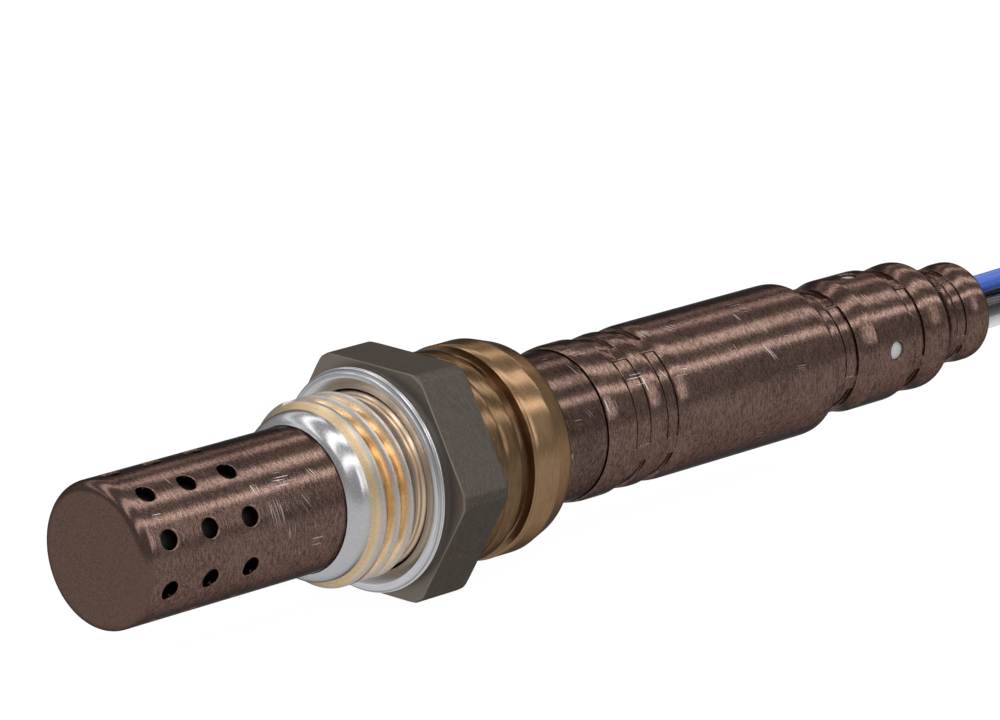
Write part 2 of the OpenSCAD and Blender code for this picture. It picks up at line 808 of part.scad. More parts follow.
// One lead of the bundle: a circle square to the middle line, turned as the table says
function lead_along(middle, table, angle, r_start, r_end) =
    [for (i = [0:len(middle) - 1])
        let (t = across(middle, i))
        let (u = cross([0, 0, 1], t) / norm(cross([0, 0, 1], t)))
        let (v = cross(t, u))
        let (r = between(r_start, r_end, table[i][2]), a = angle + table[i][3])
        middle[i] + r * cos(a) * u + r * sin(a) * v];
function lead_out(angle) =
    lead_along(OUT_MIDDLE, LEAD_OUT, angle, lead_circle, bundle_circle);
function lead_plug(angle) =
    lead_along(PLUG_MIDDLE, LEAD_PLUG, angle, bundle_circle, pin_pitch / sqrt(2));

// From the terminal's barrel through the grommet to the hank, and from the hank to the plug
module lead(angle) {
    start = [[terminal_end, terminal_circle * cos(angle), terminal_circle * sin(angle)]];
    swept(concat(start, lead_inside(angle), lead_out(angle)), lead_r);
    swept(lead_plug(angle), lead_r);
}

module lead_blue() {
    color("royalblue")
        lead(lead_phase + 90);
}

module lead_white() {
    color("white")
        lead(lead_phase + 270);
}

module lead_black_1() {
    color("black")
        lead(lead_phase);
}

module lead_black_2() {
    color("black")
        lead(lead_phase + 180);
}

// An outline with two straight runs along X and round ends
module run_outline(r) {
    hull()
        for (x = [hank_x, hank_end])
            translate([x, 0])
                circle(r = r);
}

// The outer shape of the folded leads: two layers all round, and a third along one side
module lead_hank() {
    lap = 0.1;
    inner = hank_r - bundle_d / 2;
    outer = hank_r + bundle_d / 2;
    base_z = floor_z + tie_t;
    color("slategray") {
        translate([0, 0, base_z])
            linear_extrude(2 * bundle_d)
                difference() {
                    run_outline(outer);
                    run_outline(inner);
                }
        translate([hank_in, inner + lap, base_z + lap])
            cube([hank_x - hank_in, bundle_d - 2 * lap, bundle_d - 2 * lap]);
        translate([hank_x - 4, inner + lap, base_z + 2 * bundle_d - lap])
            cube([hank_out - hank_x + 4, bundle_d - 2 * lap, bundle_d + lap]);
    }
}

// A flat band round the middle of the hank
module hank_tie() {
    half = hank_r + bundle_d / 2 + fit;
    base_z = floor_z + tie_t - fit;
    section = [
        [-half, base_z], [half, base_z], [half, hank_top_z + bundle_d / 2 + fit],
        [half - bundle_d - 2 * fit, hank_top_z + bundle_d / 2 + fit],
        [-half, base_z + 2 * bundle_d + 2 * fit]
    ];
    color("whitesmoke")
        translate([(hank_x + hank_end - tie_w) / 2, 0, 0])
            rotate([90, 0, 90])
                linear_extrude(tie_w)
                    difference() {
                        offset(r = tie_t - fit, $fn = 24)
                            polygon(section);
                        polygon(section);
                    }
}

// A rounded rectangle, w along the first axis and h along the second
function rounded(w, h, r) =
    [for (q = [0:3], i = [0:4])
        let (sx = q == 0 || q == 3 ? 1 : -1)
        let (sy = q < 2 ? 1 : -1)
        let (a = q * 90 + i * 22.5)
        [sx * (w / 2 - r) + r * cos(a), sy * (h / 2 - r) + r * sin(a)]];

// The plug is drawn with its wire side at X = 0 and its front towards -X
module placed() {
    translate([plug_x, plug_y, plug_z])
        rotate([0, 0, 180])
            children();
}

// A block along X from a rounded rectangle in Y and Z
module block(x0, x1, w, h, r) {
    translate([x0, 0, 0])
        rotate([90, 0, 90])
            linear_extrude(x1 - x0)
                polygon(rounded(w, h, r));
}

// Four copies at the plug's cavities
module at_cavities() {
    for (sy = [-1, 1], sz = [-1, 1])
        translate([0, sy * pin_pitch / 2, sz * pin_pitch / 2])
            children();
}

module plug_bar(x0, x1, r) {
    translate([x0, 0, 0])
        rotate([0, 90, 0])
            cylinder(r = r, h = x1 - x0);
}

hood_depth = 9;
core_w = pin_pitch + 5.4;
core_h = pin_pitch + 4.8;
seal_x = -1 - seal_len;

module latch() {
    translate([-9, -2.6, plug_h / 2 - 1])
        cube([3, 5.2, 2.6]);
    translate([3 - plug_len, -2.6, plug_h / 2 + 0.7])
        cube([plug_len - 9, 5.2, 0.9]);
    translate([3 - plug_len, -2.6, plug_h / 2 + 1])
        cube([1.2, 5.2, 1.3]);
}

module connector_housing() {
    front = -plug_len;
    color("dimgray")
        placed()
            difference() {
                union() {
                    difference() {
                        block(front, front + hood_depth + 4, plug_w, plug_h, 2.4);
                        block(front - 1, front + hood_depth, plug_w - 2.6, plug_h - 2.6, 1.6);
                    }
                    block(front + 0.8, front + hood_depth + 1, core_w, core_h, 1.2);
                    block(front + hood_depth + 3, 0, plug_w - 2, plug_h - 1.4, 2);
                    latch();
                }
                at_cavities() {
                    plug_bar(seal_x, 1, seal_r + fit);
                    plug_bar(front - 1, seal_x + 1, pin_r + 0.1);
                }
                translate([front + hood_depth + 7, -plug_w / 2 - 1, -1])
                    cube([2.2, plug_w + 2, 2]);
            }
}

module connector_seal() {
    x0 = hood_depth - 2.4 - plug_len;
    color("orangered")
        placed()
            difference() {
                block(x0, x0 + 2.3, core_w + 1.4, core_h + 1.4, 1.6);
                block(x0 - 1, x0 + 4, core_w + 2 * fit, core_h + 2 * fit, 1.2);
            }
}

module wire_seals() {
    color("seagreen")
        placed()
            at_cavities()
                rotate([0, 90, 0])
                    translate([0, 0, seal_x + fit])
                        rotate_extrude()
                            polygon([
                                [lead_r + fit, 0], [seal_r - 0.3, 0], [seal_r, 0.6],
                                [seal_r - 0.3, 1.2], [seal_r, 1.9], [seal_r - 0.3, 2.5],
                                [seal_r, 3.2], [seal_r - 0.3, 3.8], [seal_r - 0.3, seal_len],
                                [lead_r + fit, seal_len]
                            ]);
}

// Female contacts: a square-shouldered tube with its crimp at the lead's end
module connector_pins() {
    color("silver")
        placed()
            at_cavities()
                difference() {
                    union() {
                        plug_bar(1.8 - plug_len, seal_x - 1.5, pin_r);
                        plug_bar(seal_x - 2, seal_x, pin_r - 0.15);
                    }
                    plug_bar(1 - plug_len, 8 - plug_len, 0.6);
                }
}

// A bar through the housing's side slot that keeps the contacts in
module pin_lock() {
    x0 = hood_depth + 7 - plug_len;
    color("goldenrod")
        placed()
            difference() {
                translate([x0 + 0.1, 0.6 - plug_w / 2, -0.9])
                    cube([2, plug_w - 1.2, 1.8]);
                at_cavities()
                    plug_bar(x0 - 1, x0 + 4, pin_r + 0.1);
            }
}

outer_protector();
inner_protector();
shell();
gasket();
packing_washer();
sensing_element();
talc_ring();
insulator_ring();
crimp_ring();
heater_rod();
inner_contact();
outer_contact();
separator();
disc_spring();
signal_terminal();
ground_terminal();
heater_terminal_1();
heater_terminal_2();
main_cover();
filter();
outer_cover();
grommet();
lead_blue();
lead_white();
lead_black_1();
lead_black_2();
lead_hank();
hank_tie();
connector_housing();
connector_seal();
wire_seals();
connector_pins();
pin_lock();
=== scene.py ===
"""Looks of the oxygen sensor: camera, leads, metal forms, materials, floor and light.

Sizes are in millimetres in the CAD's frame, and become metres when a mesh is made.
"""
import json
import math

import bmesh
import bpy
import numpy as np
from mathutils import Matrix, Vector


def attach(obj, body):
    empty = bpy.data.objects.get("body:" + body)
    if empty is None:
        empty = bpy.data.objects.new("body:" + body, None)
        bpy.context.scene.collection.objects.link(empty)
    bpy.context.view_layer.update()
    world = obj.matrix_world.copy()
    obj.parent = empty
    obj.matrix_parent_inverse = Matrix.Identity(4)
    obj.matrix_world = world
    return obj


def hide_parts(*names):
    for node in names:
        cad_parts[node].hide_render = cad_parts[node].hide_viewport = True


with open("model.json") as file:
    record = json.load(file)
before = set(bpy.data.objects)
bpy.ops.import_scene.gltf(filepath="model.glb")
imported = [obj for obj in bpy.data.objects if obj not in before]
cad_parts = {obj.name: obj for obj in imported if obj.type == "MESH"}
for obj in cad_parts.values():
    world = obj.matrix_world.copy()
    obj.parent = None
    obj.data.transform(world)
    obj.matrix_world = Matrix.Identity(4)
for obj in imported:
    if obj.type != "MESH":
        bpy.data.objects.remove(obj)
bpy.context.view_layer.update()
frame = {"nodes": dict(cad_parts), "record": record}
nodes = frame["nodes"]
scene = bpy.context.scene
scene.view_settings.view_transform = "Standard"
MM = 0.001

# Camera, fitted to the photograph: its place in metres and the directions of its axes
cam = bpy.data.objects.new("camera", bpy.data.cameras.new("camera"))
scene.collection.objects.link(cam)
cam.data.lens = 216
cam.data.sensor_width = 36
cam.data.clip_start = 0.02
cam.data.clip_end = 30
cam_at = (-0.3730759, -0.3828654, 0.1606403)
cam_right = (0.698784, -0.715333, 0)
cam_up = (0.192022, 0.187579, 0.963297)
cam_back = (-0.689078, -0.673137, 0.268437)
cam_axes = Matrix((cam_right, cam_up, cam_back)).transposed()
cam.matrix_world = Matrix.Translation(cam_at) @ cam_axes.to_4x4()
scene.camera = cam


# Mesh helpers

def add_object(name, verts, faces, angle=30, fix=False):
    """A smooth-shaded mesh object from millimetres, with edges over the angle kept sharp."""
    mesh = bpy.data.meshes.new(name)
    mesh.from_pydata((np.asarray(verts, float) * MM).tolist(), [], [list(f) for f in faces])
    mesh.validate()
    if fix:
        bm = bmesh.new()
        bm.from_mesh(mesh)
        bmesh.ops.remove_doubles(bm, verts=bm.verts, dist=1e-7)
        bmesh.ops.recalc_face_normals(bm, faces=bm.faces)
        bm.to_mesh(mesh)
        bm.free()
    mesh.polygons.foreach_set("use_smooth", [True] * len(mesh.polygons))
    mesh.set_sharp_from_angle(angle=math.radians(angle))
    obj = bpy.data.objects.new(name, mesh)
    scene.collection.objects.link(obj)
    return obj


def band(first, second):
    """Quads between two closed rings of vertex numbers."""
    n = len(first)
    return [(first[k], first[(k + 1) % n], second[(k + 1) % n], second[k]) for k in range(n)]


def grid_faces(rows, cols, start=0):
    """Quads between the rows of a grid that is closed round its columns."""
    faces = []
    for a in range(start, start + (rows - 1) * cols, cols):
        faces += band(range(a, a + cols), range(a + cols, a + 2 * cols))
    return faces


def turn(rows, theta):
    """Points of a form turned about X, from rows of (x, r), each a number or an array."""
    out = []
    c, s = np.cos(theta), np.sin(theta)
    for x, r in rows:
        x = np.broadcast_to(x, theta.shape)
        r = np.broadcast_to(r, theta.shape)
        out.append(np.stack([x, r * c, r * s], 1))
    return np.concatenate(out)


def fillet(points, steps=3):
    """Rounds the corners of an outline whose (x, r) points have a radius after them."""
    pts = [np.array(p[:2], float) for p in points]
    out = [tuple(pts[0])]
    for i in range(1, len(pts) - 1):
        a, b, c = pts[i - 1:i + 2]
        if len(points[i]) < 3:
            out.append(tuple(b))
            continue
        u, v = a - b, c - b
        lu, lv = np.linalg.norm(u), np.linalg.norm(v)
        u, v = u / lu, v / lv
        half = math.acos(max(-1, min(1, float(u @ v)))) / 2
        # each round takes less than half of the stretches beside it
        reach = min(points[i][2] / math.tan(half), 0.48 * lu, 0.48 * lv)
        p, q = b + u * reach, b + v * reach
        for k in range(steps + 1):
            t = k / steps
            out.append(tuple((1 - t) ** 2 * p + 2 * t * (1 - t) * b + t * t * q))
    out.append(tuple(pts[-1]))
    return out


def resample(points, step):
    """The same outline with no stretch longer than step."""
    out = [points[0]]
    for a, b in zip(points[:-1], points[1:]):
        a, b = np.array(a, float), np.array(b, float)
        n = max(1, int(math.ceil(np.linalg.norm(b - a) / step)))
        out += [tuple(a + (b - a) * k / n) for k in range(1, n + 1)]
    return out


def lathe(name, outline, n=192):
    """A solid of revolution from a closed outline that starts and ends at the same place."""
    last = (len(outline) - 1) * n
    verts = turn(outline, np.linspace(0, 2 * math.pi, n, endpoint=False))[:last]
    faces = [tuple(v % last for v in f) for f in grid_faces(len(outline), n)]
    return add_object(name, verts, faces, fix=True)


def smooth01(t):
    t = np.clip(t, 0, 1)
    return t * t * (3 - 2 * t)


def catmull(keys, steps):
    """Points of a smooth curve through the keys, with steps between each two."""
    k = np.asarray(keys, float)
    k = np.vstack([2 * k[0] - k[1], k, 2 * k[-1] - k[-2]])
    out = []
    for i in range(1, len(k) - 2):
        a, b, c, d = k[i - 1:i + 3]
        for s in range(steps):
            t = s / steps
            out.append(0.5 * (2 * b + (c - a) * t + (2 * a - 5 * b + 4 * c - d) * t * t
                              + (3 * b - a - 3 * c + d) * t ** 3))
    out.append(k[-2])
    return np.array(out)


def tube(name, path, radius, sides=16):
    """A round tube along a path, with capped ends."""
    path = np.asarray(path, float)
    tangent = np.gradient(path, axis=0)
    tangent /= np.linalg.norm(tangent, axis=1)[:, None]
    u = np.cross(tangent[0], (0, 0, 1.0))
    verts = []
    for p, t in zip(path, tangent):
        u = u - (u @ t) * t
        u /= np.linalg.norm(u)
        v = np.cross(t, u)
        for k in range(sides):
            a = 2 * math.pi * k / sides
            verts.append(p + radius * (math.cos(a) * u + math.sin(a) * v))
    n = len(path)
    faces = grid_faces(n, sides)
    faces.append(tuple(range(sides)))
    faces.append(tuple((n - 1) * sides + k for k in range(sides - 1, -1, -1)))
    return add_object(name, verts, faces, 40, fix=True)


# The four leads, on the same route as in the CAD: the bundle leaves the tail, sinks to the
# floor, makes two laps of a hank that rise layer by layer, and spreads into the plug

FLOOR_Z = -11
EXIT_X = 85.4
LEAD_R = 1.0
LEAD_PHASE = -2
LEAD_CIRCLE = 1.96
BUNDLE_CIRCLE = 1.45
BUNDLE_D = 4.9
PLUG_CIRCLE = 3.2527
PLUG_Y, PLUG_Z = 4, -3.5
HANK_X = EXIT_X + 41
HANK_RUN = 34
HANK_R = 8
HANK_IN, HANK_OUT = HANK_X - 9, HANK_X + HANK_RUN + 8
HANK_LOW_Z = FLOOR_Z + 0.5 + BUNDLE_D / 2
HANK_TOP_Z = HANK_LOW_Z + 2 * BUNDLE_D
HANK_TURN = 2 * HANK_RUN + 2 * math.pi * HANK_R
HANK_RISE = 25
HANK_STEPS = 64

# Behind the exit: distance, share of the way to the hank, share of the way to the bundle's
# circle, turn in degrees
LEAD_OUT = [
    (-6, 0, 0, 0), (0, 0, 0, 0), (5, 0, 0, 0), (9, 0, 0, 0), (12, 0.07, 0.15, 10),
    (15, 0.21, 0.5, 22), (18, 0.4, 0.85, 35), (21, 0.6, 1, 48), (24, 0.79, 1, 62),
    (27, 0.93, 1, 76), (30, 0.99, 1, 89), (32, 1, 1, 98),
]

# Behind the hank: distance, share of the way to the plug, share of the way to the circle of
# its bores, turn in degrees
LEAD_PLUG = [
    (0, 0, 0, 1248), (3, 0.03, 0, 1259), (6, 0.14, 0.05, 1270), (9, 0.3, 0.2, 1281),
    (12, 0.53, 0.45, 1291), (15, 0.74, 0.72, 1299), (18, 0.92, 0.93, 1305),
    (20.5, 1, 1, 1307), (24, 1, 1, 1307), (27, 1, 1, 1307),
]


def hank_point(s):
    """The bundle's middle after s of the hank: two straight runs, round ends, rising layers."""
    half = HANK_RUN + math.pi * HANK_R
    lap, part = divmod(s, HANK_TURN)
    if s < 0 or s > 2 * HANK_TURN:
        lap, part = (0, s) if s < 0 else (2, s - 2 * HANK_TURN)
    side = 1
    if lap < 2 and part >= half:
        side, part = -1, part - half
    if part <= HANK_RUN or lap == 2:
        x, y = part, HANK_R
    else:
        a = (part - HANK_RUN) / HANK_R
        x, y = HANK_RUN + HANK_R * math.sin(a), HANK_R * math.cos(a)
    if side < 0:
        x, y = HANK_RUN - x, -y
    rise = sum(float(smooth01((s - k * HANK_TURN) / HANK_RISE + 1)) for k in (1, 2))
    return HANK_X + x, y, HANK_LOW_Z + BUNDLE_D * rise


def bundle_route():
    """Key points of the bundle's middle: x, y, z, circle radius and turn in degrees."""
    keys = []
    for x, share, near, twist in LEAD_OUT:
        r = LEAD_CIRCLE + (BUNDLE_CIRCLE - LEAD_CIRCLE) * near
        keys.append((EXIT_X + x, HANK_R * share, HANK_LOW_Z * share, r, twist))
    first, last = HANK_IN - HANK_X, 2 * HANK_TURN + HANK_OUT - HANK_X
    turned, turn_more = LEAD_OUT[-1][3], LEAD_PLUG[0][3] - LEAD_OUT[-1][3]
    for k in range(1, HANK_STEPS):
        s = first + (last - first) * k / HANK_STEPS
        keys.append((*hank_point(s), BUNDLE_CIRCLE, turned + turn_more * k / HANK_STEPS))
    for x, share, apart, twist in LEAD_PLUG:
        r = BUNDLE_CIRCLE + (PLUG_CIRCLE - BUNDLE_CIRCLE) * apart
        keys.append((
            HANK_OUT + x, HANK_R + (PLUG_Y - HANK_R) * share,
            HANK_TOP_Z + (PLUG_Z - HANK_TOP_Z) * share, r, twist,
        ))
    return keys


def lead_path(angle, steps=6):
    """The middle line of the lead that leaves the sensor at an angle from +Y."""
    mid = catmull(bundle_route(), steps)
    tangent = np.gradient(mid[:, :3], axis=0)
    tangent /= np.linalg.norm(tangent, axis=1)[:, None]
    left = np.cross((0, 0, 1.0), tangent)
    left /= np.linalg.norm(left, axis=1)[:, None]
    up = np.cross(tangent, left)
    a = np.radians(angle + mid[:, 4])
    return mid[:, :3] + mid[:, 3:4] * (np.cos(a)[:, None] * left + np.sin(a)[:, None] * up)


LEADS = {"lead_black_1": 0, "lead_blue": 90, "lead_black_2": 180, "lead_white": 270}
lead_objects = {}
lead_paths = {}
for lead_name, turned_by in LEADS.items():
    line = lead_path(LEAD_PHASE + turned_by)
    lead_paths[lead_name] = line
    lead_objects[lead_name] = tube(lead_name + "_insulation", line, LEAD_R)


# Gas holes and vents: round holes in turned sheets, each in a square block of the grid. The
# block's size is in grid steps, and the edge is the radius of a hole's rounded edge.

HOLE_R = 0.95
HOLE_EDGE = 0.1
HOLE_BLOCK = 8


def hole_rings(square, wall):
    """Rings from a hole's square block to its edge and down its wall, each with its depth."""
    circle = square / np.linalg.norm(square, axis=1)[:, None]
    edge = HOLE_EDGE if wall else 0.0
    rings = [(square * (1 - t) + circle * (HOLE_R + edge) * t, 0.0) for t in (0.4, 0.75, 1.0)]
    if wall:
        for a in (0.3 * math.pi / 2, 0.65 * math.pi / 2, math.pi / 2):
            rings.append((circle * (HOLE_R + edge * (1 - math.sin(a))), edge * (1 - math.cos(a))))
        rings += [(circle * HOLE_R, edge + (wall - edge) * t) for t in (0.5, 1.0)]
    return rings


def sheet(xs, angles, radius, holes, wall=0.0):
    """A turned sheet with holes, each given by the first column and row of its block.

    With a wall the holes have rounded edges and sides that deep, and without one they are flat.
    """
    n, cols = HOLE_BLOCK, len(angles)
    verts = [turn([(x, radius(x)) for x in xs], np.radians(angles))]
    faces = grid_faces(len(xs), cols)
    count = len(xs) * cols
    block_edge = [(0, k) for k in range(n)] + [(k, n) for k in range(n)]
    block_edge += [(n, n - k) for k in range(n)] + [(n - k, 0) for k in range(n)]
    drop = set()
    for col, row in holes:
        drop.update((row + i) * cols + (col + j) % cols for i in range(n) for j in range(n))
        edge = [(row + i, (col + j) % cols) for i, j in block_edge]
        a0, a1 = angles[col], angles[(col + n) % cols]
        if a1 < a0:
            a1 += 360
        mid_a, mid_x = math.radians((a0 + a1) / 2), (xs[row] + xs[row + n]) / 2
        mid_r = float(np.mean(radius(mid_x)))
        square = []
        for i, j in edge:
            around = (math.radians(angles[j]) - mid_a + math.pi) % (2 * math.pi) - math.pi
            square.append((xs[i] - mid_x, around * mid_r))
        previous = [i * cols + j for i, j in edge]
        for ring, sink in hole_rings(np.array(square), wall):
            numbers = range(count, count + len(edge))
            count += len(edge)
            a = mid_a + ring[:, 1] / mid_r
            r = np.array([float(np.mean(radius(mid_x + dx))) for dx in ring[:, 0]]) - sink
            verts.append(np.stack([mid_x + ring[:, 0], r * np.cos(a), r * np.sin(a)], 1))
            faces += band(previous, numbers)
            previous = numbers
    faces = [f for i, f in enumerate(faces) if i not in drop]
    return np.concatenate(verts), faces


def add_rows(verts, faces, theta, rows, row_start=0):
    """Turned rows that carry on from a sheet's front, or from its row that starts at row_start."""
    cols, base = len(theta), len(verts)
    last = base + (len(rows) - 1) * cols
    faces += grid_faces(len(rows), cols, base)
    a, b = (row_start, base) if row_start else (last, 0)
    faces += band(range(a, a + cols), range(b, b + cols))
    return np.concatenate([verts, turn(rows, theta)]), faces


# The outer protector: a closed can with rings of gas holes. The first ring lies that far
# behind the front, and between two holes' blocks there are five more grid steps.

PROTECTOR_FRONT, PROTECTOR_END = -33.05, -7.4
PROTECTOR_R, PROTECTOR_WALL, PROTECTOR_BEND = 6.98, 0.5, 1.15
GAS_RINGS, GAS_COLUMNS = 3, 9
GAS_FIRST, GAS_PITCH = 3.25, 4.94
GAS_BLOCK_HALF = 1.3
GAS_BETWEEN = 5


def outer_protector():
    front, r, wall, bend = PROTECTOR_FRONT, PROTECTOR_R, PROTECTOR_WALL, PROTECTOR_BEND
    half = GAS_BLOCK_HALF
    spread, apart = math.degrees(half / r), 360 / GAS_COLUMNS
    angles = []
    for k in range(GAS_COLUMNS):
        c = apart * k
        angles += list(np.linspace(c - spread, c + spread, HOLE_BLOCK + 1)[:-1])
        angles += list(np.linspace(c + spread, c + apart - spread, GAS_BETWEEN + 1)[:-1])
    theta, cols = np.radians(angles), len(angles)
    xs = [front + bend]
    rows = []
    for i in range(GAS_RINGS):
        c = front + GAS_FIRST + GAS_PITCH * i
        xs.append(c - half - 0.1)
        rows.append(len(xs))
        xs += list(np.linspace(c - half, c + half, HOLE_BLOCK + 1))
    xs += list(np.linspace(c + half + 0.3, PROTECTOR_END, 24))
    holes = [((HOLE_BLOCK + GAS_BETWEEN) * k, row) for k in range(GAS_COLUMNS) for row in rows]
    verts, faces = sheet(xs, angles, lambda x: r, holes, wall)
    disc = [(front, 0.02), (front, 2.0), (front, 4.4), (front, 5.5)]
    disc += [(front + bend - bend * math.cos(a), r - bend + bend * math.sin(a))
             for a in np.linspace(0, math.pi / 2, 9)[:-1]]
    verts, faces = add_rows(verts, faces, theta, disc)
    # the inner skin, joined to the outer one at the open rear
    skin, skin_faces = sheet(xs, angles, lambda x: r, holes)
    skin[:, 1:] *= (r - wall) / r
    inside = front + wall
    skin, skin_faces = add_rows(skin, skin_faces, theta, [
        (inside, 0.02), (inside, 4.0), (inside, r - bend), (inside + 0.2, r - wall - 0.2)])
    faces += [tuple(v + len(verts) for v in f) for f in skin_faces]
    last = (len(xs) - 1) * cols
    skin_last = len(verts) + last
    faces += band(range(last, last + cols), range(skin_last, skin_last + cols))
    return add_object("outer_protector_sheet", np.concatenate([verts, skin]), faces, 40, fix=True)


# The shell: nose, thread, undercut, hexagon, collar, groove, ring and cone in one piece

HEX_X, HEX_END = 1.6, 7.4
HEX_FLAT, HEX_CORNER = 11, 12.42
FACE_R, COLLAR_R = 10.4, 10.3

# The rolled nose: middle of its curve, and how far that reaches forwards and outwards
NOSE_X, NOSE_R = -6.75, 6.6
NOSE_REACH, NOSE_BULGE = 1.55, 1.5

# The hexagon's edges: distance from its face, cut at the corners, drop all round
CHAMFER = (
    (0.0, 0.26, 0.06), (0.02, 0.2, 0.025), (0.06, 0.16, 0.0), (0.18, 0.04, 0.0),
    (0.24, 0.01, 0.0), (0.34, 0.0, 0.0),
)

# One right-hand helix: its pitch, where its crest starts, in degrees and along X, how many
# turns it goes on for, how much of a turn it runs out over, and its radii
THREAD_PITCH = 1.75
THREAD_START = 62
THREAD_FRONT = -5.74
THREAD_TURNS, THREAD_FADE = 2.88, 0.36
THREAD_STEPS = 96
CREST_R, ROOT_R = 8.98, 8.05
LEAD_IN, LEAD_IN_END = -6.3, -5.48
LEAD_IN_R, LEAD_IN_SLOPE = 8.12, 1.05

# The ridge behind the first crest: distance from its middle, share of its height
RIDGE = (
    (-0.66, 0), (-0.5, 0.2), (-0.24, 0.8), (-0.16, 0.93), (-0.06, 1), (0.06, 1), (0.1, 0.95),
    (0.14, 0.85), (0.2, 0.7), (0.46, 0.14), (0.6, 0),
)

# Turned outlines from the thread to the hexagon, and from the hexagon to the rear bore
UNDERCUT = [
    (-0.95, ROOT_R), (-0.85, ROOT_R - 0.02), (-0.75, ROOT_R - 0.06), (-0.1, ROOT_R - 0.05),
    (0.0, ROOT_R), (0.05, 8.1), (0.1, 8.32), (0.3, 8.5), (0.8, 8.66), (1.55, 8.8),
]
SHELL_REAR = [
    (HEX_END, 10.45), (HEX_END + 0.03, 10.33), (HEX_END + 0.12, COLLAR_R), (9.35, COLLAR_R),
    (9.42, 10.27), (9.5, COLLAR_R), (11.22, COLLAR_R), (11.36, 10.24), (11.42, 10.1),
    (11.44, 9.75), (11.6, 9.55), (11.85, 9.5), (12.5, 9.5), (12.75, 9.56), (12.86, 9.75),
    (12.88, 10.25), (12.92, 10.38), (13.0, 10.44), (13.12, 10.47), (13.2, 10.45), (13.24, 10.42),
    (13.3, 10.45), (15.9, 10.47), (16.1, 10.46), (16.3, 10.4), (18.3, 9.8), (18.5, 9.7),
    (18.64, 9.55), (18.7, 9.35), (18.7, 8.4), (18.7, 7.6), (18.66, 7.5), (18.55, 7.46),
    (17.7, 7.46),
]


def hex_outline(theta, limit, soft=0.05):
    """Radius of the hexagon with corners at +Y and -Y, cut at a limit, with soft corners."""
    flat = HEX_FLAT / np.cos(theta % (math.pi / 3) - math.pi / 6)
    h = np.clip(0.5 + 0.5 * (limit - flat) / soft, 0, 1)
    return limit * (1 - h) + flat * h - soft * h * (1 - h)


def shell():
    corner = math.degrees(math.acos(HEX_FLAT / HEX_CORNER))
    cut_by = 30 - corner
    beside = (cut_by / 2, cut_by, cut_by + 0.25, cut_by + 0.6)
    around = []
    for k in range(6):
        around += [60 * k + 30 + d for d in np.linspace(-corner + 1.2, corner - 1.2, 18)]
        around += [60 * k + 60 + side * d for side in (-1, 1) for d in beside]
        around.append(60 * k + 60)
    seam = [THREAD_START + d for d in (-0.8, -0.2, 0.2, 0.8)]
    angles = [a % 360 for a in around if abs(a % 360 - THREAD_START) > 1.2]
    theta = np.radians(sorted(angles + seam))
    rows = [(-7.4, 7.03), (-8.0, 7.03), (-8.26, 7.04)]
    rows += [(NOSE_X - NOSE_REACH * math.cos(a), NOSE_R + NOSE_BULGE * math.sin(a))
             for a in np.linspace(math.radians(22), math.pi / 2, 14)]
    rows += lead_in(theta)
    rows += resample(UNDERCUT, 0.5)
    rim = hex_outline(theta, HEX_CORNER - CHAMFER[0][1])
    edge = [(dx, hex_outline(theta, HEX_CORNER - cut) - drop) for dx, cut, drop in CHAMFER]
    rows += [(HEX_X, 8.9), (HEX_X, 9.6), (HEX_X, FACE_R)]
    rows += [(HEX_X, FACE_R + (rim - FACE_R) * t) for t in (0.35, 0.7, 0.94)]
    rows += [(HEX_X + dx, r) for dx, r in edge]
    rows += [(x, hex_outline(theta, HEX_CORNER))
             for x in np.linspace(HEX_X + 1.2, HEX_END - 1.2, 6)]
    rows += [(HEX_END - dx, r) for dx, r in reversed(edge)]
    rows += [(HEX_END, COLLAR_R + (rim - COLLAR_R) * t) for t in (0.9, 0.6, 0.3)]
    rows += resample(SHELL_REAR, 0.6)
    verts = turn(rows, theta)
    ridge, ridge_faces = thread_ridge(len(verts))
    faces = grid_faces(len(rows), len(theta)) + ridge_faces
    return add_object("shell_body", np.concatenate([verts, ridge]), faces, 34)


def lead_in(theta):
    """Rows from the nose over the slanted lead-in and the first crest down to the root."""
    from_start = np.degrees(theta) - THREAD_START
    from_start = np.where(from_start < 0, from_start + 360, from_start)
    crest = THREAD_FRONT + THREAD_PITCH * from_start / 360
    slope_end = np.minimum(crest - 0.1, LEAD_IN_END)
    foot = crest + 0.6
    rows = [(-6.5, 8.11)]
    for k in range(7):
        x = LEAD_IN + (slope_end - LEAD_IN) * k / 6
        rows.append((x, lead_in_r(x)))
    for dx, drop in ((-0.1, 0.0), (0.04, 0.01), (0.1, 0.05), (0.14, 0.14), (0.2, 0.3)):
        rows.append((crest + dx, lead_in_r(crest) - drop))
    rows += [(crest + 0.46, ROOT_R + 0.1), (foot, ROOT_R)]
    rows += [(foot + (-1.05 - foot) * k / 3, ROOT_R) for k in (1, 2, 3)]
    return rows


def lead_in_r(x):
    """Radius on the lead-in's slope at x."""
    return np.minimum(LEAD_IN_R + (x - LEAD_IN) * LEAD_IN_SLOPE, CREST_R)


def thread_ridge(start):
    """The helical ridge behind the first crest, with its last part turn running out."""
    foot = ROOT_R - 0.05
    turns = np.arange(THREAD_STEPS, round(THREAD_TURNS * THREAD_STEPS) + 1) / THREAD_STEPS
    verts = []
    for t in turns:
        out = float(smooth01((THREAD_TURNS - t) / THREAD_FADE))
        a = 2 * math.pi * t + math.radians(THREAD_START)
        for dx, share in RIDGE:
            r = foot + (CREST_R - foot) * share * out
            x = THREAD_FRONT + THREAD_PITCH * t + dx * (0.7 + 0.3 * out)
            verts.append((x, r * math.cos(a), r * math.sin(a)))
    m = len(RIDGE)
    faces = []
    for i in range(len(turns) - 1):
        for a in range(start + i * m, start + (i + 1) * m - 1):
            faces.append((a, a + m, a + m + 1, a + 1))
    return np.array(verts), faces


# The outer cover: its outline, pressed in by the crimping tool except at four ribs

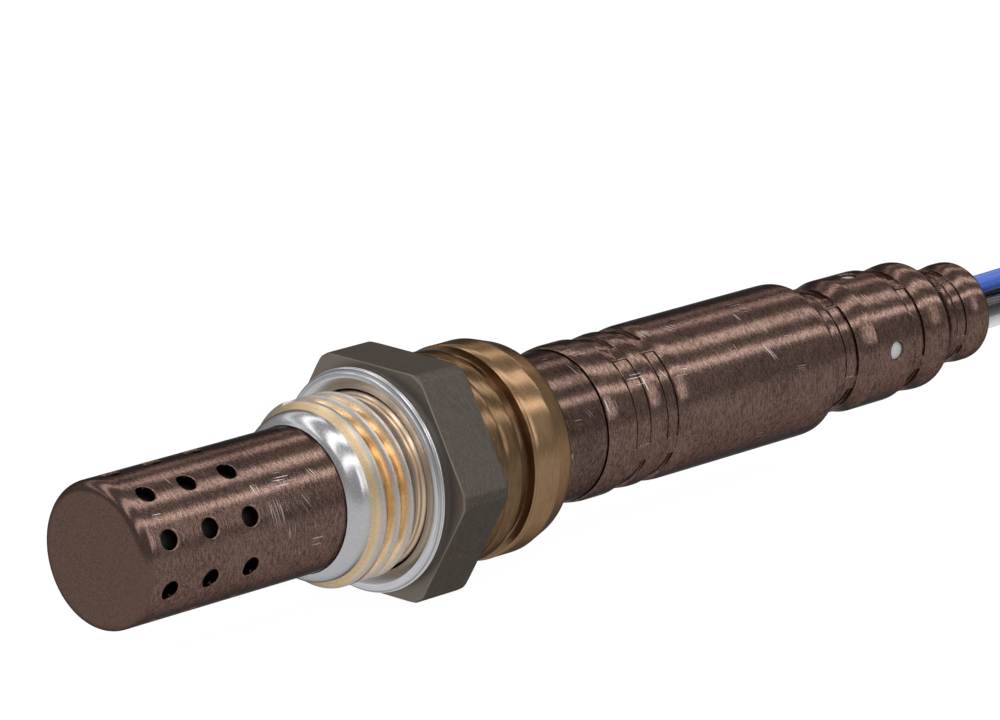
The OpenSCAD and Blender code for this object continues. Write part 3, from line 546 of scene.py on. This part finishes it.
COVER_FRONT, COVER_WALL = 26.1, 0.3
COVER_R, NECK_R = 7.74, 6.75
VENT_X, VENT_HALF = 68.95, 1.35
VENTS = [(-2 + 90 * k) % 360 for k in range(4)]

# The ribs, in degrees from +Y towards +Z: their middles, their half width and their sides
RIBS = (22, 116, 199, 292)
RIB_HALF, RIB_SIDE = 6.6, 0.9

# The panel between two ribs that is pressed in less than the others, in the same way
SHALLOW_AT, SHALLOW_HALF, SHALLOW_SIDE = 157, 37, 3

# Crimps: where each starts and ends, the radius of its floor, how much of it the ribs stop
CRIMPS = (
    (30.2, 32.0, 7.39, 1.0), (34.5, 35.8, 7.43, 1.0), (61.9, 63.4, 6.2, 0.6),
    (72.1, 73.6, 6.2, 0.6), (80.6, 81.8, 4.82, 0.6),
)

OUTLINE = np.array([
    # body
    (COVER_FRONT, 7.6), (26.4, 7.65), (27.2, 7.73), (29.6, 7.73), (30.4, 7.62), (30.9, 7.52),
    (32.2, 7.50), (33.1, 7.62), (33.6, 7.66), (34.1, 7.66), (34.7, 7.6), (35.3, 7.56),
    (36.1, 7.57), (36.9, 7.7), (37.5, COVER_R), (40, 7.75), (57.8, 7.75), (58.5, COVER_R),
    (58.8, 7.71), (58.96, 7.64), (59.06, 7.55),
    # drop and groove, and the flare to the neck
    (60.0, 6.58), (60.12, 6.48), (60.3, 6.42), (60.6, 6.4), (61.4, 6.38), (62.2, 6.37),
    (62.8, 6.36), (63.6, 6.4),
    *((63.6 + 2.5 * t, 6.4 + 0.35 * t * t) for t in (k / 6 for k in range(1, 7))),
    # neck with its groove
    (66.4, 6.76), (71.3, NECK_R), (71.7, 6.72), (72.1, 6.64), (72.6, 6.52), (73.1, 6.44),
    (73.6, 6.38), (74.1, 6.36), (74.6, 6.37), (75.1, 6.41), (75.6, 6.48), (76.1, 6.54),
    (76.6, 6.57), (77.0, 6.56), (77.2, 6.52), (77.36, 6.44), (77.46, 6.34),
    # drop and tail
    (78.6, 5.38), (78.9, 5.25), (79.2, 5.12), (79.5, 5.03), (79.9, 4.97), (80.5, 4.95),
    (81.8, 4.95), (82.6, 4.96), (83.1, 5.0), (83.6, 5.08), (84.0, 5.12), (84.9, 5.12),
    (85.15, 5.08), (85.33, 4.98), (EXIT_X, 4.82),
])


def degrees_apart(a, b):
    """Degrees between two angles, the short way round."""
    return np.abs((a - b + 180) % 360 - 180)


def cover_r(x):
    return float(np.interp(x, OUTLINE[:, 0], OUTLINE[:, 1]))


def pressed(x, theta):
    """Radius of the cover at x for each angle, with the crimps pressed in."""
    r = np.full(theta.shape, cover_r(x))
    deg = np.degrees(theta)
    from_rib = np.min([degrees_apart(deg, rib) for rib in RIBS], axis=0)
    beside_rib = smooth01((from_rib - RIB_HALF) / RIB_SIDE)
    deeper = smooth01((degrees_apart(deg, SHALLOW_AT) - SHALLOW_HALF) / SHALLOW_SIDE)
    for x0, x1, floor_r, stopped in CRIMPS:
        if not x0 - 0.6 < x < x1 + 0.12:
            continue
        along = float(smooth01((x - x0 + 0.5) / 0.55))
        if x > x1:
            along = float(smooth01((x1 + 0.05 - x) / 0.05))
        share = 1 - stopped * (1 - beside_rib)
        depth = np.maximum(r - floor_r, 0) * (1 + 0.9 * deeper)
        r = r - depth * along * share
        # a fine slit at the crimp's rear edge
        slit = max(0.0, 1 - abs(x - (x1 - 0.04)) / 0.04)
        r = r - 0.06 * min(1.0, slit * 1.6) * (share if stopped == 1.0 else 1.0)
    return r


def cover_angles(spread):
    """Angles of the cover's grid: closer beside the ribs, and in even blocks at the vents."""
    beside_rib = (5.6, 6.5, 6.8, 7.1, 7.4, 7.7, 8.6)
    angles = set(np.arange(0, 360, 2.5).round(3))
    angles |= {round((rib + side * d) % 360, 3)
               for rib in RIBS for side in (-1, 1) for d in beside_rib}
    angles = [a for a in angles if min(degrees_apart(a, c) for c in VENTS) > spread + 0.5]
    for c in VENTS:
        angles += [(c - spread + 2 * spread * k / HOLE_BLOCK) % 360 for k in range(HOLE_BLOCK + 1)]
    angles.sort()
    kept = [angles[0]]
    for a in angles[1:]:
        if a - kept[-1] > 0.12:
            kept.append(a)
    return kept


def cover_places():
    """Rows of the cover's grid, and the first one of the vents' block."""
    xs = set(OUTLINE[:, 0].round(3)) | set(np.arange(COVER_FRONT, EXIT_X, 0.45).round(3))
    for x0, x1, _, _ in CRIMPS:
        xs |= {round(x0 + d, 3) for d in (-0.5, -0.4, -0.3, -0.2, -0.1, 0.0)}
        xs |= {round(x1 + d, 3) for d in (-0.16, -0.08, -0.065, -0.04, -0.015, 0.0, 0.02, 0.035,
                                          0.05, 0.08)}
    block = list(np.linspace(VENT_X - VENT_HALF, VENT_X + VENT_HALF, HOLE_BLOCK + 1))
    xs = sorted([x for x in xs if abs(x - VENT_X) > VENT_HALF + 0.08] + block)
    return xs, xs.index(block[0])


def outer_cover():
    spread = math.degrees(VENT_HALF / NECK_R)
    angles = cover_angles(spread)
    xs, row = cover_places()
    cols, theta = len(angles), np.radians(angles)
    holes = []
    for c in VENTS:
        holes.append((min(range(cols), key=lambda j: degrees_apart(angles[j], c - spread)), row))
    table = {x: pressed(x, theta) for x in xs}
    verts, faces = sheet(xs, angles, lambda x: table.get(x, cover_r(x)), holes, COVER_WALL)
    bore = [(85.38, 4.72), (84.9, 4.7), (83.6, 4.7), (82.4, 4.55), (81.7, 4.5)]
    verts, faces = add_rows(verts, faces, theta, bore, (len(xs) - 1) * cols)
    lip = [(27.4, 7.42), (26.2, 7.43), (26.04, 7.44), (26.02, 7.46), (26.02, 7.54), (26.05, 7.58)]
    verts, faces = add_rows(verts, faces, theta, lip)
    return add_object("outer_cover_sheet", verts, faces, 38)


protector = outer_protector()
shell_body = shell()
cover = outer_cover()

TUBE_X, TUBE_END = 17.6, 28.6
TUBE_R, TUBE_INNER_R = 7.41, 7.0
main_tube = lathe("main_cover_tube", resample([
    (TUBE_X, TUBE_INNER_R), (TUBE_X, TUBE_R), (TUBE_END, TUBE_R), (TUBE_END, TUBE_INNER_R),
    (TUBE_X, TUBE_INNER_R)], 1.5))

gasket = lathe("gasket_ring", fillet([
    (1.5, 9.2), (0.9, 8.9, 0.2), (0.45, 8.72, 0.12), (0.3, 8.78, 0.1), (0.03, 9.7),
    (0.0, 9.82, 0.05), (0.03, 10.0, 0.1), (0.1, 10.2, 0.1), (0.19, 10.33, 0.04),
    (0.22, 10.28, 0.02), (0.25, 10.42, 0.04), (0.33, 10.62, 0.08), (0.44, 10.71, 0.05),
    (0.475, 10.6, 0.02), (0.52, 10.73, 0.04), (0.62, 10.75, 0.04), (0.665, 10.6, 0.02),
    (0.71, 10.68, 0.03), (0.78, 10.6, 0.06), (0.86, 10.35, 0.08), (1.05, 10.05, 0.15),
    (1.4, 9.95, 0.1), (1.6, 9.95), (1.6, 9.4), (1.5, 9.2),
]))


# Materials

# Where the unrolled sheets have their seam, at the back, in degrees from +Y towards +Z
SEAM = -22


class Nodes:
    """Adds nodes to a tree. Numbers and sockets may be given for any input."""

    def __init__(self, tree):
        self.tree = tree

    def put(self, socket, value):
        if isinstance(value, bpy.types.NodeSocket):
            self.tree.links.new(value, socket)
        else:
            socket.default_value = value

    def math(self, operation, a, b=0.0):
        n = self.tree.nodes.new("ShaderNodeMath")
        n.operation = operation
        self.put(n.inputs[0], a)
        self.put(n.inputs[1], b)
        return n.outputs[0]

    def times(self, a, b):
        return self.math("MULTIPLY", a, b)

    def plus(self, a, b):
        return self.math("ADD", a, b)

    def minus(self, a, b):
        return self.math("SUBTRACT", a, b)

    def rest(self, share):
        """1 less the share."""
        return self.minus(1.0, share)

    def weighed(self, a, by_a, b, by_b):
        """Two values, each times its weight, added up."""
        return self.plus(self.times(a, by_a), self.times(b, by_b))

    def most(self, values):
        """The largest of several values."""
        top = values[0]
        for value in values[1:]:
            top = self.math("MAXIMUM", top, value)
        return top

    def compare(self, operation, a, b):
        """The number that a vector operation makes of two vectors."""
        n = self.tree.nodes.new("ShaderNodeVectorMath")
        n.operation = operation
        self.put(n.inputs[0], a)
        self.put(n.inputs[1], b)
        return n.outputs["Value"]

    def split(self, vector):
        n = self.tree.nodes.new("ShaderNodeSeparateXYZ")
        self.put(n.inputs[0], vector)
        return n.outputs

    def join(self, x, y, z):
        n = self.tree.nodes.new("ShaderNodeCombineXYZ")
        for socket, value in zip(n.inputs, (x, y, z)):
            self.put(socket, value)
        return n.outputs[0]

    def noise(self, vector, scale, detail=2.0, rough=0.5):
        n = self.tree.nodes.new("ShaderNodeTexNoise")
        self.put(n.inputs["Vector"], vector)
        n.inputs["Scale"].default_value = scale
        n.inputs["Detail"].default_value = detail
        n.inputs["Roughness"].default_value = rough
        return n.outputs[0]

    def ramp(self, value, low, high, smooth=False, to=(0.0, 1.0)):
        """The value's stretch from low to high laid over 0 to 1 or another stretch."""
        n = self.tree.nodes.new("ShaderNodeMapRange")
        if smooth:
            n.interpolation_type = "SMOOTHSTEP"
        self.put(n.inputs[0], value)
        for socket, limit in zip(n.inputs[1:5], (low, high, *to)):
            socket.default_value = limit
        return n.outputs[0]

    def mix(self, share, a, b):
        n = self.tree.nodes.new("ShaderNodeMix")
        n.data_type = "RGBA"
        self.put(n.inputs[0], share)
        self.put(n.inputs[6], (*a, 1) if isinstance(a, tuple) else a)
        self.put(n.inputs[7], (*b, 1) if isinstance(b, tuple) else b)
        return n.outputs[2]

    def bump(self, height, strength, distance):
        n = self.tree.nodes.new("ShaderNodeBump")
        n.inputs["Strength"].default_value = strength
        n.inputs["Distance"].default_value = distance * MM
        self.put(n.inputs["Height"], height)
        return n.outputs[0]


class Graph(Nodes):
    """The nodes of one material, with the object's coordinates in millimetres as p."""

    def __init__(self, name):
        self.material = bpy.data.materials.new(name)
        self.material.use_nodes = True
        super().__init__(self.material.node_tree)
        self.tree.nodes.clear()
        out = self.tree.nodes.new("ShaderNodeOutputMaterial")
        self.shader = self.tree.nodes.new("ShaderNodeBsdfPrincipled")
        self.tree.links.new(self.shader.outputs[0], out.inputs[0])
        place = self.tree.nodes.new("ShaderNodeTexCoord")
        n = self.tree.nodes.new("ShaderNodeVectorMath")
        n.operation = "SCALE"
        self.tree.links.new(place.outputs["Object"], n.inputs[0])
        n.inputs["Scale"].default_value = 1 / MM
        self.p = n.outputs[0]

    def set(self, **values):
        for key, value in values.items():
            self.put(self.shader.inputs[key.replace("_", " ")], value)


class TurnedGraph(Graph):
    """A turned piece's material, with the radius r and the angle round the axis from the seam."""

    def __init__(self, name):
        super().__init__(name)
        self.x, self.y, self.z = self.split(self.p)
        self.r = self.math("SQRT", self.weighed(self.y, self.y, self.z, self.z))
        c, s = math.cos(math.radians(SEAM + 180)), math.sin(math.radians(SEAM + 180))
        self.angle = self.math("ARCTAN2", self.weighed(self.z, c, self.y, -s),
                               self.weighed(self.y, c, self.z, s))


# Tint of the metals' grazing reflection, which keeps their outlines dark
EDGE = (0.42, 0.415, 0.42, 1)
SHELL_EDGE = (0.42, 0.4, 0.4, 1)


def brushed(g, fine=6.5, along=1.6):
    """Noise drawn out round the axis, as turning or polishing leaves it."""
    v = g.join(g.times(g.plus(g.x, g.r), fine), g.times(g.y, along), g.times(g.z, along))
    return g.noise(v, 1.0, 2.0, 0.6)


# Three kinds of hairline: degrees from the axis, the noise's scale along and across them, and
# the share of the noise that they are cut from
HAIRLINES = ((4, 0.3, 9.0, 0.64), (84, 0.34, 9.0, 0.64), (62, 0.28, 8.5, 0.67))


def scratches(g, radius, seed, groups):
    """Short pale hairlines, parallel within each group, in groups at x and degrees round it."""
    s = g.times(g.angle, radius)
    here = g.join(g.x, s, 0.0)
    kinds = []
    for k, (turn_by, along, across, cut) in enumerate(HAIRLINES):
        c, q = math.cos(math.radians(turn_by)), math.sin(math.radians(turn_by))
        u, v = g.weighed(g.x, c, s, q), g.weighed(s, c, g.x, -q)
        vec = g.join(g.times(u, along), g.times(v, across), seed + 3.7 * k)
        line = g.ramp(g.noise(vec, 1.0, 0.0), cut, cut + 0.07)
        near = []
        for at, degrees, reach, strength in groups[k::len(HAIRLINES)]:
            middle = (at, math.radians(degrees - SEAM - 180) * radius, 0)
            away = g.compare("DISTANCE", here, middle)
            near.append(g.times(g.ramp(away, reach, 0.5 * reach), strength))
        kinds.append(g.times(line, g.most(near)))
    return g.most(kinds)


def stained_steel(name, dark, light, seed, groups, radius, front=None):
    """Heat-stained steel: fine brushing, speckle, cloudy tone and pale scratches."""
    g = TurnedGraph(name)
    brush = brushed(g)
    speck = g.noise(g.p, 7.5, 1.0, 0.7)
    cloud = g.noise(g.p, 0.22, 3.0, 0.6)
    tone = g.plus(g.weighed(brush, 0.55, speck, 0.45), g.times(g.minus(cloud, 0.5), 0.2))
    color = g.mix(g.ramp(tone, 0.4, 0.6), dark, light)
    marks = scratches(g, radius, seed, groups)
    if front is not None:
        # the unrolled sheet doesn't reach the front disc, whose grain is finer
        behind = g.ramp(g.x, front + 0.9, front + 1.2)
        marks = g.times(marks, behind)
        fine = g.ramp(g.noise(g.p, 9.0, 1.0, 0.7), 0.25, 0.75)
        color = g.mix(behind, g.mix(fine, (0.08, 0.05, 0.04), (0.168, 0.108, 0.087)), color)
    color = g.mix(g.times(marks, 0.62), color, (0.828, 0.773, 0.731))
    height = g.minus(g.weighed(brush, 0.6, speck, 0.4), g.times(marks, 0.5))
    g.set(Base_Color=color, Metallic=1.0, Specular_Tint=EDGE, Normal=g.bump(height, 0.3, 0.035),
          Roughness=g.plus(g.ramp(speck, 0, 1, to=(0.12, 0.24)), g.times(marks, 0.25)))
    return g.material


# Scratched places: x, degrees from +Y towards +Z, reach in millimetres, strength
PROTECTOR_MARKS = (
    (-30.2, 141, 0.6, 1), (-18.4, 141, 0.6, 1), (-16.6, 142, 0.7, 1), (-14.8, 141, 1.3, 1),
    (-12.4, 142, 0.7, 1), (-11.4, 142, 0.7, 1), (-14.6, 152, 0.9, 0.45), (-16.5, 163, 1.6, 0.5),
    (-13.4, 163, 1.2, 0.5), (-20.4, 172, 0.8, 0.6), (-15.2, 179, 0.9, 0.7), (-11.6, 179, 1.1, 0.7),
    (-11.8, 192, 1.0, 0.6), (-14.0, 197, 0.7, 0.6), (-21.2, 199, 0.7, 0.7), (-28.0, 200, 0.6, 0.5),
    (-26.8, 114, 0.7, 0.5), (-22.6, 116, 0.5, 0.5),
)
COVER_MARKS = (
    (27.1, 104, 1.3, 0.8), (36.8, 106, 0.7, 1), (40.2, 107, 0.7, 1), (50.0, 106, 1.3, 0.7),
    (48.6, 115, 0.7, 0.6), (50.6, 129, 1.0, 0.45), (31.6, 142, 1.2, 1), (32.4, 147, 0.9, 1),
    (34.8, 145, 0.9, 1), (37.4, 145, 0.9, 1), (45.2, 140, 0.7, 0.8), (50.0, 150, 1.2, 0.6),
    (52.6, 145, 0.8, 1), (26.6, 157, 1.2, 1), (50.4, 172, 1.0, 0.5), (53.5, 164, 0.9, 0.6),
    (49.2, 183, 0.7, 0.6), (54.8, 197, 0.9, 0.7), (48.8, 215, 0.6, 0.6), (67.0, 120, 1.2, 0.6),
    (73.0, 150, 1.2, 0.6), (79.0, 130, 1.0, 0.6), (60.5, 145, 1.0, 0.6),
)
TUBE_MARKS = (
    (23.4, 101, 0.7, 0.6), (25.2, 118, 0.9, 0.7), (24.7, 158, 1.2, 0.6), (22.5, 160, 0.8, 0.6),
    (21.2, 187, 0.8, 0.6), (23.2, 222, 0.7, 0.5),
)
BROWN = ((0.08, 0.05, 0.041), (0.207, 0.134, 0.109))
DARK_BROWN = ((0.062, 0.039, 0.032), (0.155, 0.101, 0.083))
steel_front = stained_steel("stained_steel_front", *BROWN, 1.0, PROTECTOR_MARKS, PROTECTOR_R,
                            PROTECTOR_FRONT)
steel_tube = stained_steel("stained_steel_tube", *DARK_BROWN, 31.0, TUBE_MARKS, TUBE_R)
steel_cover = stained_steel("stained_steel_cover", *BROWN, 57.0, COVER_MARKS, COVER_R)


def shell_finish():
    """One turned body with a bright nose, a gilt thread, a grey hexagon and a bronze rear."""
    g = TurnedGraph("shell_steel")
    x, r = g.x, g.r
    brush = brushed(g, 7.0, 0.9)
    speck = g.noise(g.p, 6.0, 2.0, 0.65)
    cloud = g.noise(g.p, 0.42, 3.0, 0.6)
    fine = g.ramp(speck, 0.35, 0.65)
    nose = g.rest(g.ramp(x, -6.55, -6.12, smooth=True))
    lead = g.rest(g.ramp(x, -6.0, -5.65))
    rear = g.ramp(x, HEX_END - 0.04, HEX_END + 0.02)
    hexagon = g.times(g.ramp(x, HEX_X - 0.03, HEX_X - 0.01), g.rest(rear))

    # nose: bright steel
    bright = g.mix(g.ramp(speck, 0.3, 0.7), (0.455, 0.448, 0.462), (0.552, 0.545, 0.559))

    # thread: gold between crests, silver grey on them, duller on its lead-in
    wavy_r = g.plus(r, g.times(g.minus(cloud, 0.5), 0.3))
    crest = g.times(g.ramp(wavy_r, 8.4, 8.85, smooth=True), g.rest(g.times(lead, 0.7)))
    gold = g.mix(g.ramp(cloud, 0.38, 0.62), (0.773, 0.531, 0.29), (0.98, 0.731, 0.442))
    gold = g.mix(g.times(g.ramp(speck, 0.45, 0.7), 0.45), gold, (0.662, 0.442, 0.235))
    gold = g.mix(lead, gold, g.mix(fine, (0.58, 0.428, 0.248), (0.718, 0.552, 0.345)))
    thread = g.mix(crest, gold, g.mix(fine, (0.455, 0.414, 0.38), (0.58, 0.531, 0.49)))

    # undercut: pale gold in fine rings, but not on the ridge that runs out into it
    on_ridge = g.times(g.ramp(r, 8.12, 8.3), g.rest(g.ramp(x, -0.4, -0.2)))
    under = g.times(g.ramp(x, -1.3, -1.0, smooth=True), g.rest(on_ridge))
    ring_lines = g.ramp(g.noise(g.join(g.times(x, 4.0), 0.0, 0.0), 1.0, 1.0), 0.35, 0.65)
    under_tone = g.mix(ring_lines, (0.497, 0.386, 0.276), (0.8, 0.676, 0.552))

    # hexagon: dark grey, with its front face painted paler, painted light that lifts the face the
    # lamps leave dark
    flat_tone = g.ramp(g.weighed(speck, 0.6, brush, 0.4), 0.35, 0.65)
    grey = g.mix(flat_tone, (0.074, 0.063, 0.054), (0.132, 0.113, 0.096))
    # painted light: the front face is made paler than the flats of the same steel
    face_painted_light = g.rest(g.ramp(x, HEX_X + 0.02, HEX_X + 0.2))
    grey = g.mix(g.times(face_painted_light, 0.85), grey, (0.27, 0.235, 0.2))

    # rear: bronze, darker on the collar and paler on the ring; the groove before the ring is
    # painted paler, painted light that lifts the shade in it
    bronze_tone = g.ramp(g.weighed(brush, 0.6, cloud, 0.4), 0.35, 0.66)
    bronze = g.mix(bronze_tone, (0.138, 0.086, 0.047), (0.255, 0.16, 0.091))
    collar = g.rest(g.ramp(x, 11.3, 11.5))
    bronze = g.mix(g.times(collar, 0.3), bronze, (0.07, 0.043, 0.024))
    bronze = g.mix(g.times(g.ramp(x, 12.86, 12.92), 0.35), bronze, (0.414, 0.262, 0.145))
    # painted light: the groove's floor and walls are made paler to lift their shade
    groove_painted_light = g.times(g.rest(g.ramp(r, 9.45, 10.2, smooth=True)), g.ramp(x, 11.3, 11.42))
    groove_painted_light = g.times(groove_painted_light, g.rest(g.ramp(x, 12.9, 13.0)))
    bronze = g.mix(g.times(groove_painted_light, 0.8), bronze, (0.276, 0.179, 0.11))

    color = g.mix(under, thread, under_tone)
    for where, tone in ((nose, bright), (hexagon, grey), (rear, bronze)):
        color = g.mix(where, color, tone)
    rough = g.mix(crest, (0.21,) * 3, (0.38,) * 3)
    for where, value in ((under, 0.3), (lead, 0.42), (nose, 0.25), (hexagon, 0.55), (rear, 0.23)):
        rough = g.mix(where, rough, (value,) * 3)
    rough = g.plus(g.split(rough)[0], g.times(g.minus(speck, 0.5), 0.12))
    height = g.times(g.weighed(brush, 0.6, speck, 0.5), g.rest(nose))
    g.set(Base_Color=color, Metallic=1.0, Roughness=rough, Specular_Tint=SHELL_EDGE,
          Normal=g.bump(height, 0.3, 0.03))
    return g.material


def gasket_finish():
    """Bright turned steel, with painted shade as dark lines in the creases where its layers meet
    at the rim.
    """
    g = TurnedGraph("gasket_steel")
    brush = g.noise(g.join(g.times(g.x, 16.0), g.times(g.r, 16.0), g.times(g.angle, 2.5)),
                    1.0, 2.0, 0.6)
    color = g.mix(g.ramp(brush, 0.3, 0.7), (0.469, 0.469, 0.483), (0.718, 0.718, 0.738))
    # painted shade: dark lines in the creases of the rim
    groove_shade = g.most([g.ramp(g.math("ABSOLUTE", g.minus(g.x, at)), 0.05, 0.015)
                    for at in (0.304, 0.655, 0.918)])
    groove_shade = g.times(groove_shade, g.ramp(g.r, 10.2, 10.26))
    color = g.mix(g.times(groove_shade, 0.6), color, (0.138,) * 3)
    g.set(Base_Color=color, Metallic=1.0, Roughness=g.ramp(brush, 0, 1, to=(0.22, 0.36)),
          Normal=g.bump(brush, 0.2, 0.02))
    return g.material


def plain(name, dark, light, rough, metallic=0.0, grain=3.0, bump=0.15, spread=0.08):
    """A finish of its own grain: two tones, uneven roughness and a slight bump."""
    g = Graph(name)
    fine = g.noise(g.p, grain, 3.0, 0.6)
    broad = g.noise(g.p, grain * 0.12, 2.0, 0.5)
    tone = g.ramp(g.weighed(fine, 0.5, broad, 0.5), 0.35, 0.65)
    g.set(Base_Color=g.mix(tone, dark, light), Metallic=metallic,
          Roughness=g.ramp(fine, 0, 1, to=(rough - spread, rough + spread)),
          Normal=g.bump(fine, bump, 0.02))
    return g.material


def insulation(name, dark, light, rough=0.34):
    """Extruded lead insulation with faint lines along it and dust in the grain."""
    g = Graph(name)
    x, y, z = g.split(g.p)
    lines = g.noise(g.join(g.times(x, 0.25), g.times(y, 6.0), g.times(z, 6.0)), 1.0, 2.0, 0.6)
    fine = g.noise(g.p, 4.0, 2.0, 0.6)
    tone = g.weighed(lines, 0.6, fine, 0.4)
    g.set(Base_Color=g.mix(g.ramp(tone, 0.35, 0.65), dark, light),
          Roughness=g.ramp(fine, 0, 1, to=(rough - 0.06, rough + 0.08)),
          Normal=g.bump(tone, 0.12, 0.02))
    return g.material


finishes = {
    "zirconia": plain("zirconia", (0.75, 0.72, 0.62), (0.85, 0.82, 0.74), 0.6),
    "alumina": plain("alumina", (0.78, 0.78, 0.76), (0.88, 0.88, 0.86), 0.62),
    "talc": plain("talc", (0.6, 0.59, 0.56), (0.74, 0.73, 0.7), 0.85, grain=6.0, bump=0.4),
    "inner_steel": plain("inner_steel", (0.32, 0.31, 0.3), (0.5, 0.49, 0.47), 0.34, 1.0),
    # painted shade: near-black steel that stands in for the shade behind the gas holes
    "sooted_steel": plain("sooted_steel", (0.018, 0.015, 0.013), (0.036, 0.03, 0.026), 0.55, 0.5),
    "plated_contact": plain("plated_contact", (0.5, 0.47, 0.42), (0.7, 0.67, 0.6), 0.26, 1.0),
    # painted shade: the white filter behind the vents is made grey
    "filter_sleeve": plain("filter_sleeve", (0.4, 0.4, 0.395), (0.52, 0.52, 0.515), 0.55,
                           grain=9.0, bump=0.4),
    "grommet_rubber": plain("grommet_rubber", (0.012, 0.012, 0.012), (0.03, 0.03, 0.03), 0.62),
    "plug_plastic": plain("plug_plastic", (0.016, 0.016, 0.018), (0.034, 0.034, 0.036), 0.42,
                          grain=7.0, bump=0.25),
    "seal_rubber": plain("seal_rubber", (0.22, 0.05, 0.025), (0.36, 0.09, 0.04), 0.5),
    "lock_plastic": plain("lock_plastic", (0.5, 0.36, 0.05), (0.66, 0.5, 0.1), 0.4),
    "tie_band": plain("tie_band", (0.5, 0.5, 0.48), (0.62, 0.62, 0.6), 0.6, grain=5.0),
    "stained_steel": steel_tube,
}
lead_finish = {
    "lead_blue": insulation("blue_insulation", (0.022, 0.075, 0.4), (0.045, 0.135, 0.56)),
    "lead_white": insulation("white_insulation", (0.62, 0.63, 0.63), (0.78, 0.78, 0.77)),
    "lead_black_1": insulation("black_insulation", (0.006, 0.006, 0.006), (0.016, 0.016, 0.017),
                               0.27),
}
lead_finish["lead_black_2"] = lead_finish["lead_black_1"]


def dress(obj, material):
    obj.data.materials.clear()
    obj.data.materials.append(material)


slots = {row["node"]: row["material_slot"] for row in frame["record"]["subparts"]}
for node, obj in nodes.items():
    if slots.get(node) in finishes:
        dress(obj, finishes[slots[node]])
# painted shade: the inner can gets a near-black finish, so the gas holes look dark inside
dress(nodes["inner_protector"], finishes["sooted_steel"])

for obj, material, node, slot in (
        (protector, steel_front, "outer_protector", "stained_steel"),
        (shell_body, shell_finish(), "shell", "shell_steel"),
        (main_tube, steel_tube, None, "stained_steel"),
        (cover, steel_cover, "outer_cover", "stained_steel"),
        (gasket, gasket_finish(), "gasket", "gasket_steel")):
    dress(obj, material)
    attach(obj, "root")
    if node:
        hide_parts(node)

# Leads: each one gets its insulation's finish and hangs from the root, in place of the CAD's lead,
# which is hidden
for lead_name, obj in lead_objects.items():
    line = lead_paths[lead_name]
    dress(obj, lead_finish[lead_name])
    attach(obj, "root")
    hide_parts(lead_name)
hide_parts("lead_hank")

# Floor: its own glow keeps it an even white

FLOOR_HALF = 6
corners = [(-FLOOR_HALF, -FLOOR_HALF), (FLOOR_HALF, -FLOOR_HALF), (FLOOR_HALF, FLOOR_HALF),
           (-FLOOR_HALF, FLOOR_HALF)]
floor_mesh = bpy.data.meshes.new("floor")
floor_mesh.from_pydata([(x, y, FLOOR_Z * MM) for x, y in corners], [], [(0, 1, 2, 3)])
floor = bpy.data.objects.new("floor", floor_mesh)
scene.collection.objects.link(floor)
floor_look = Graph("floor_white")
floor_look.set(Base_Color=(0.05, 0.05, 0.05, 1), Roughness=0.9, Emission_Color=(1, 1, 1, 1),
               Emission_Strength=0.98, Specular_IOR_Level=0)
dress(floor, floor_look.material)
floor.visible_glossy = False

# World: brighter below the horizon than above it, with a dark backdrop on the far side, which
# keeps the outlines' grazing reflection dark

BACKDROP = (0.689, 0.673, -0.268)
world = bpy.data.worlds.new("studio")
scene.world = world
world.use_nodes = True
sky = world.node_tree.nodes["Background"]
sky.inputs[0].default_value = (1, 1, 1, 1)
studio = Nodes(world.node_tree)
around = world.node_tree.nodes.new("ShaderNodeTexCoord").outputs["Generated"]
fade = studio.ramp(studio.split(around)[2], -0.12, 0.04, to=(0.82, 0.42))
dark = studio.ramp(studio.compare("DOT_PRODUCT", around, BACKDROP), 0.76, 0.92, to=(1.0, 0.25))
studio.put(sky.inputs[1], studio.times(fade, dark))

# Lights: long soft boxes beside the sensor's axis, that far from it in metres

STRENGTH = 0.79
LIGHT_AWAY = 0.8


def strip(name, around, width, radiance, length=2.8, middle=0.35):
    """A soft box at an angle round the axis from +Y towards +Z, that wide in degrees."""
    data = bpy.data.lights.new(name, "AREA")
    data.shape = "RECTANGLE"
    data.size = length
    data.size_y = 2 * LIGHT_AWAY * math.tan(math.radians(width / 2))
    data.energy = STRENGTH * radiance * math.pi * data.size * data.size_y
    obj = bpy.data.objects.new(name, data)
    a = math.radians(around)
    away = Vector((0, math.cos(a), math.sin(a)))
    place = Matrix.Translation(Vector((middle, 0, 0)) + away * LIGHT_AWAY)
    obj.matrix_world = place @ Matrix((
        (1, 0, 0, 0), (0, away.z, away.y, 0), (0, -away.y, away.z, 0), (0, 0, 0, 1)))
    scene.collection.objects.link(obj)


strip("strip_edge", 34, 7, 1.7)
strip("strip_far", 58, 10, 3.2)
strip("strip_top", 98, 15, 3.3)
strip("strip_near", 131, 10, 3.9)
strip("box_front", 155, 29, 2.3, length=0.32, middle=0.44)
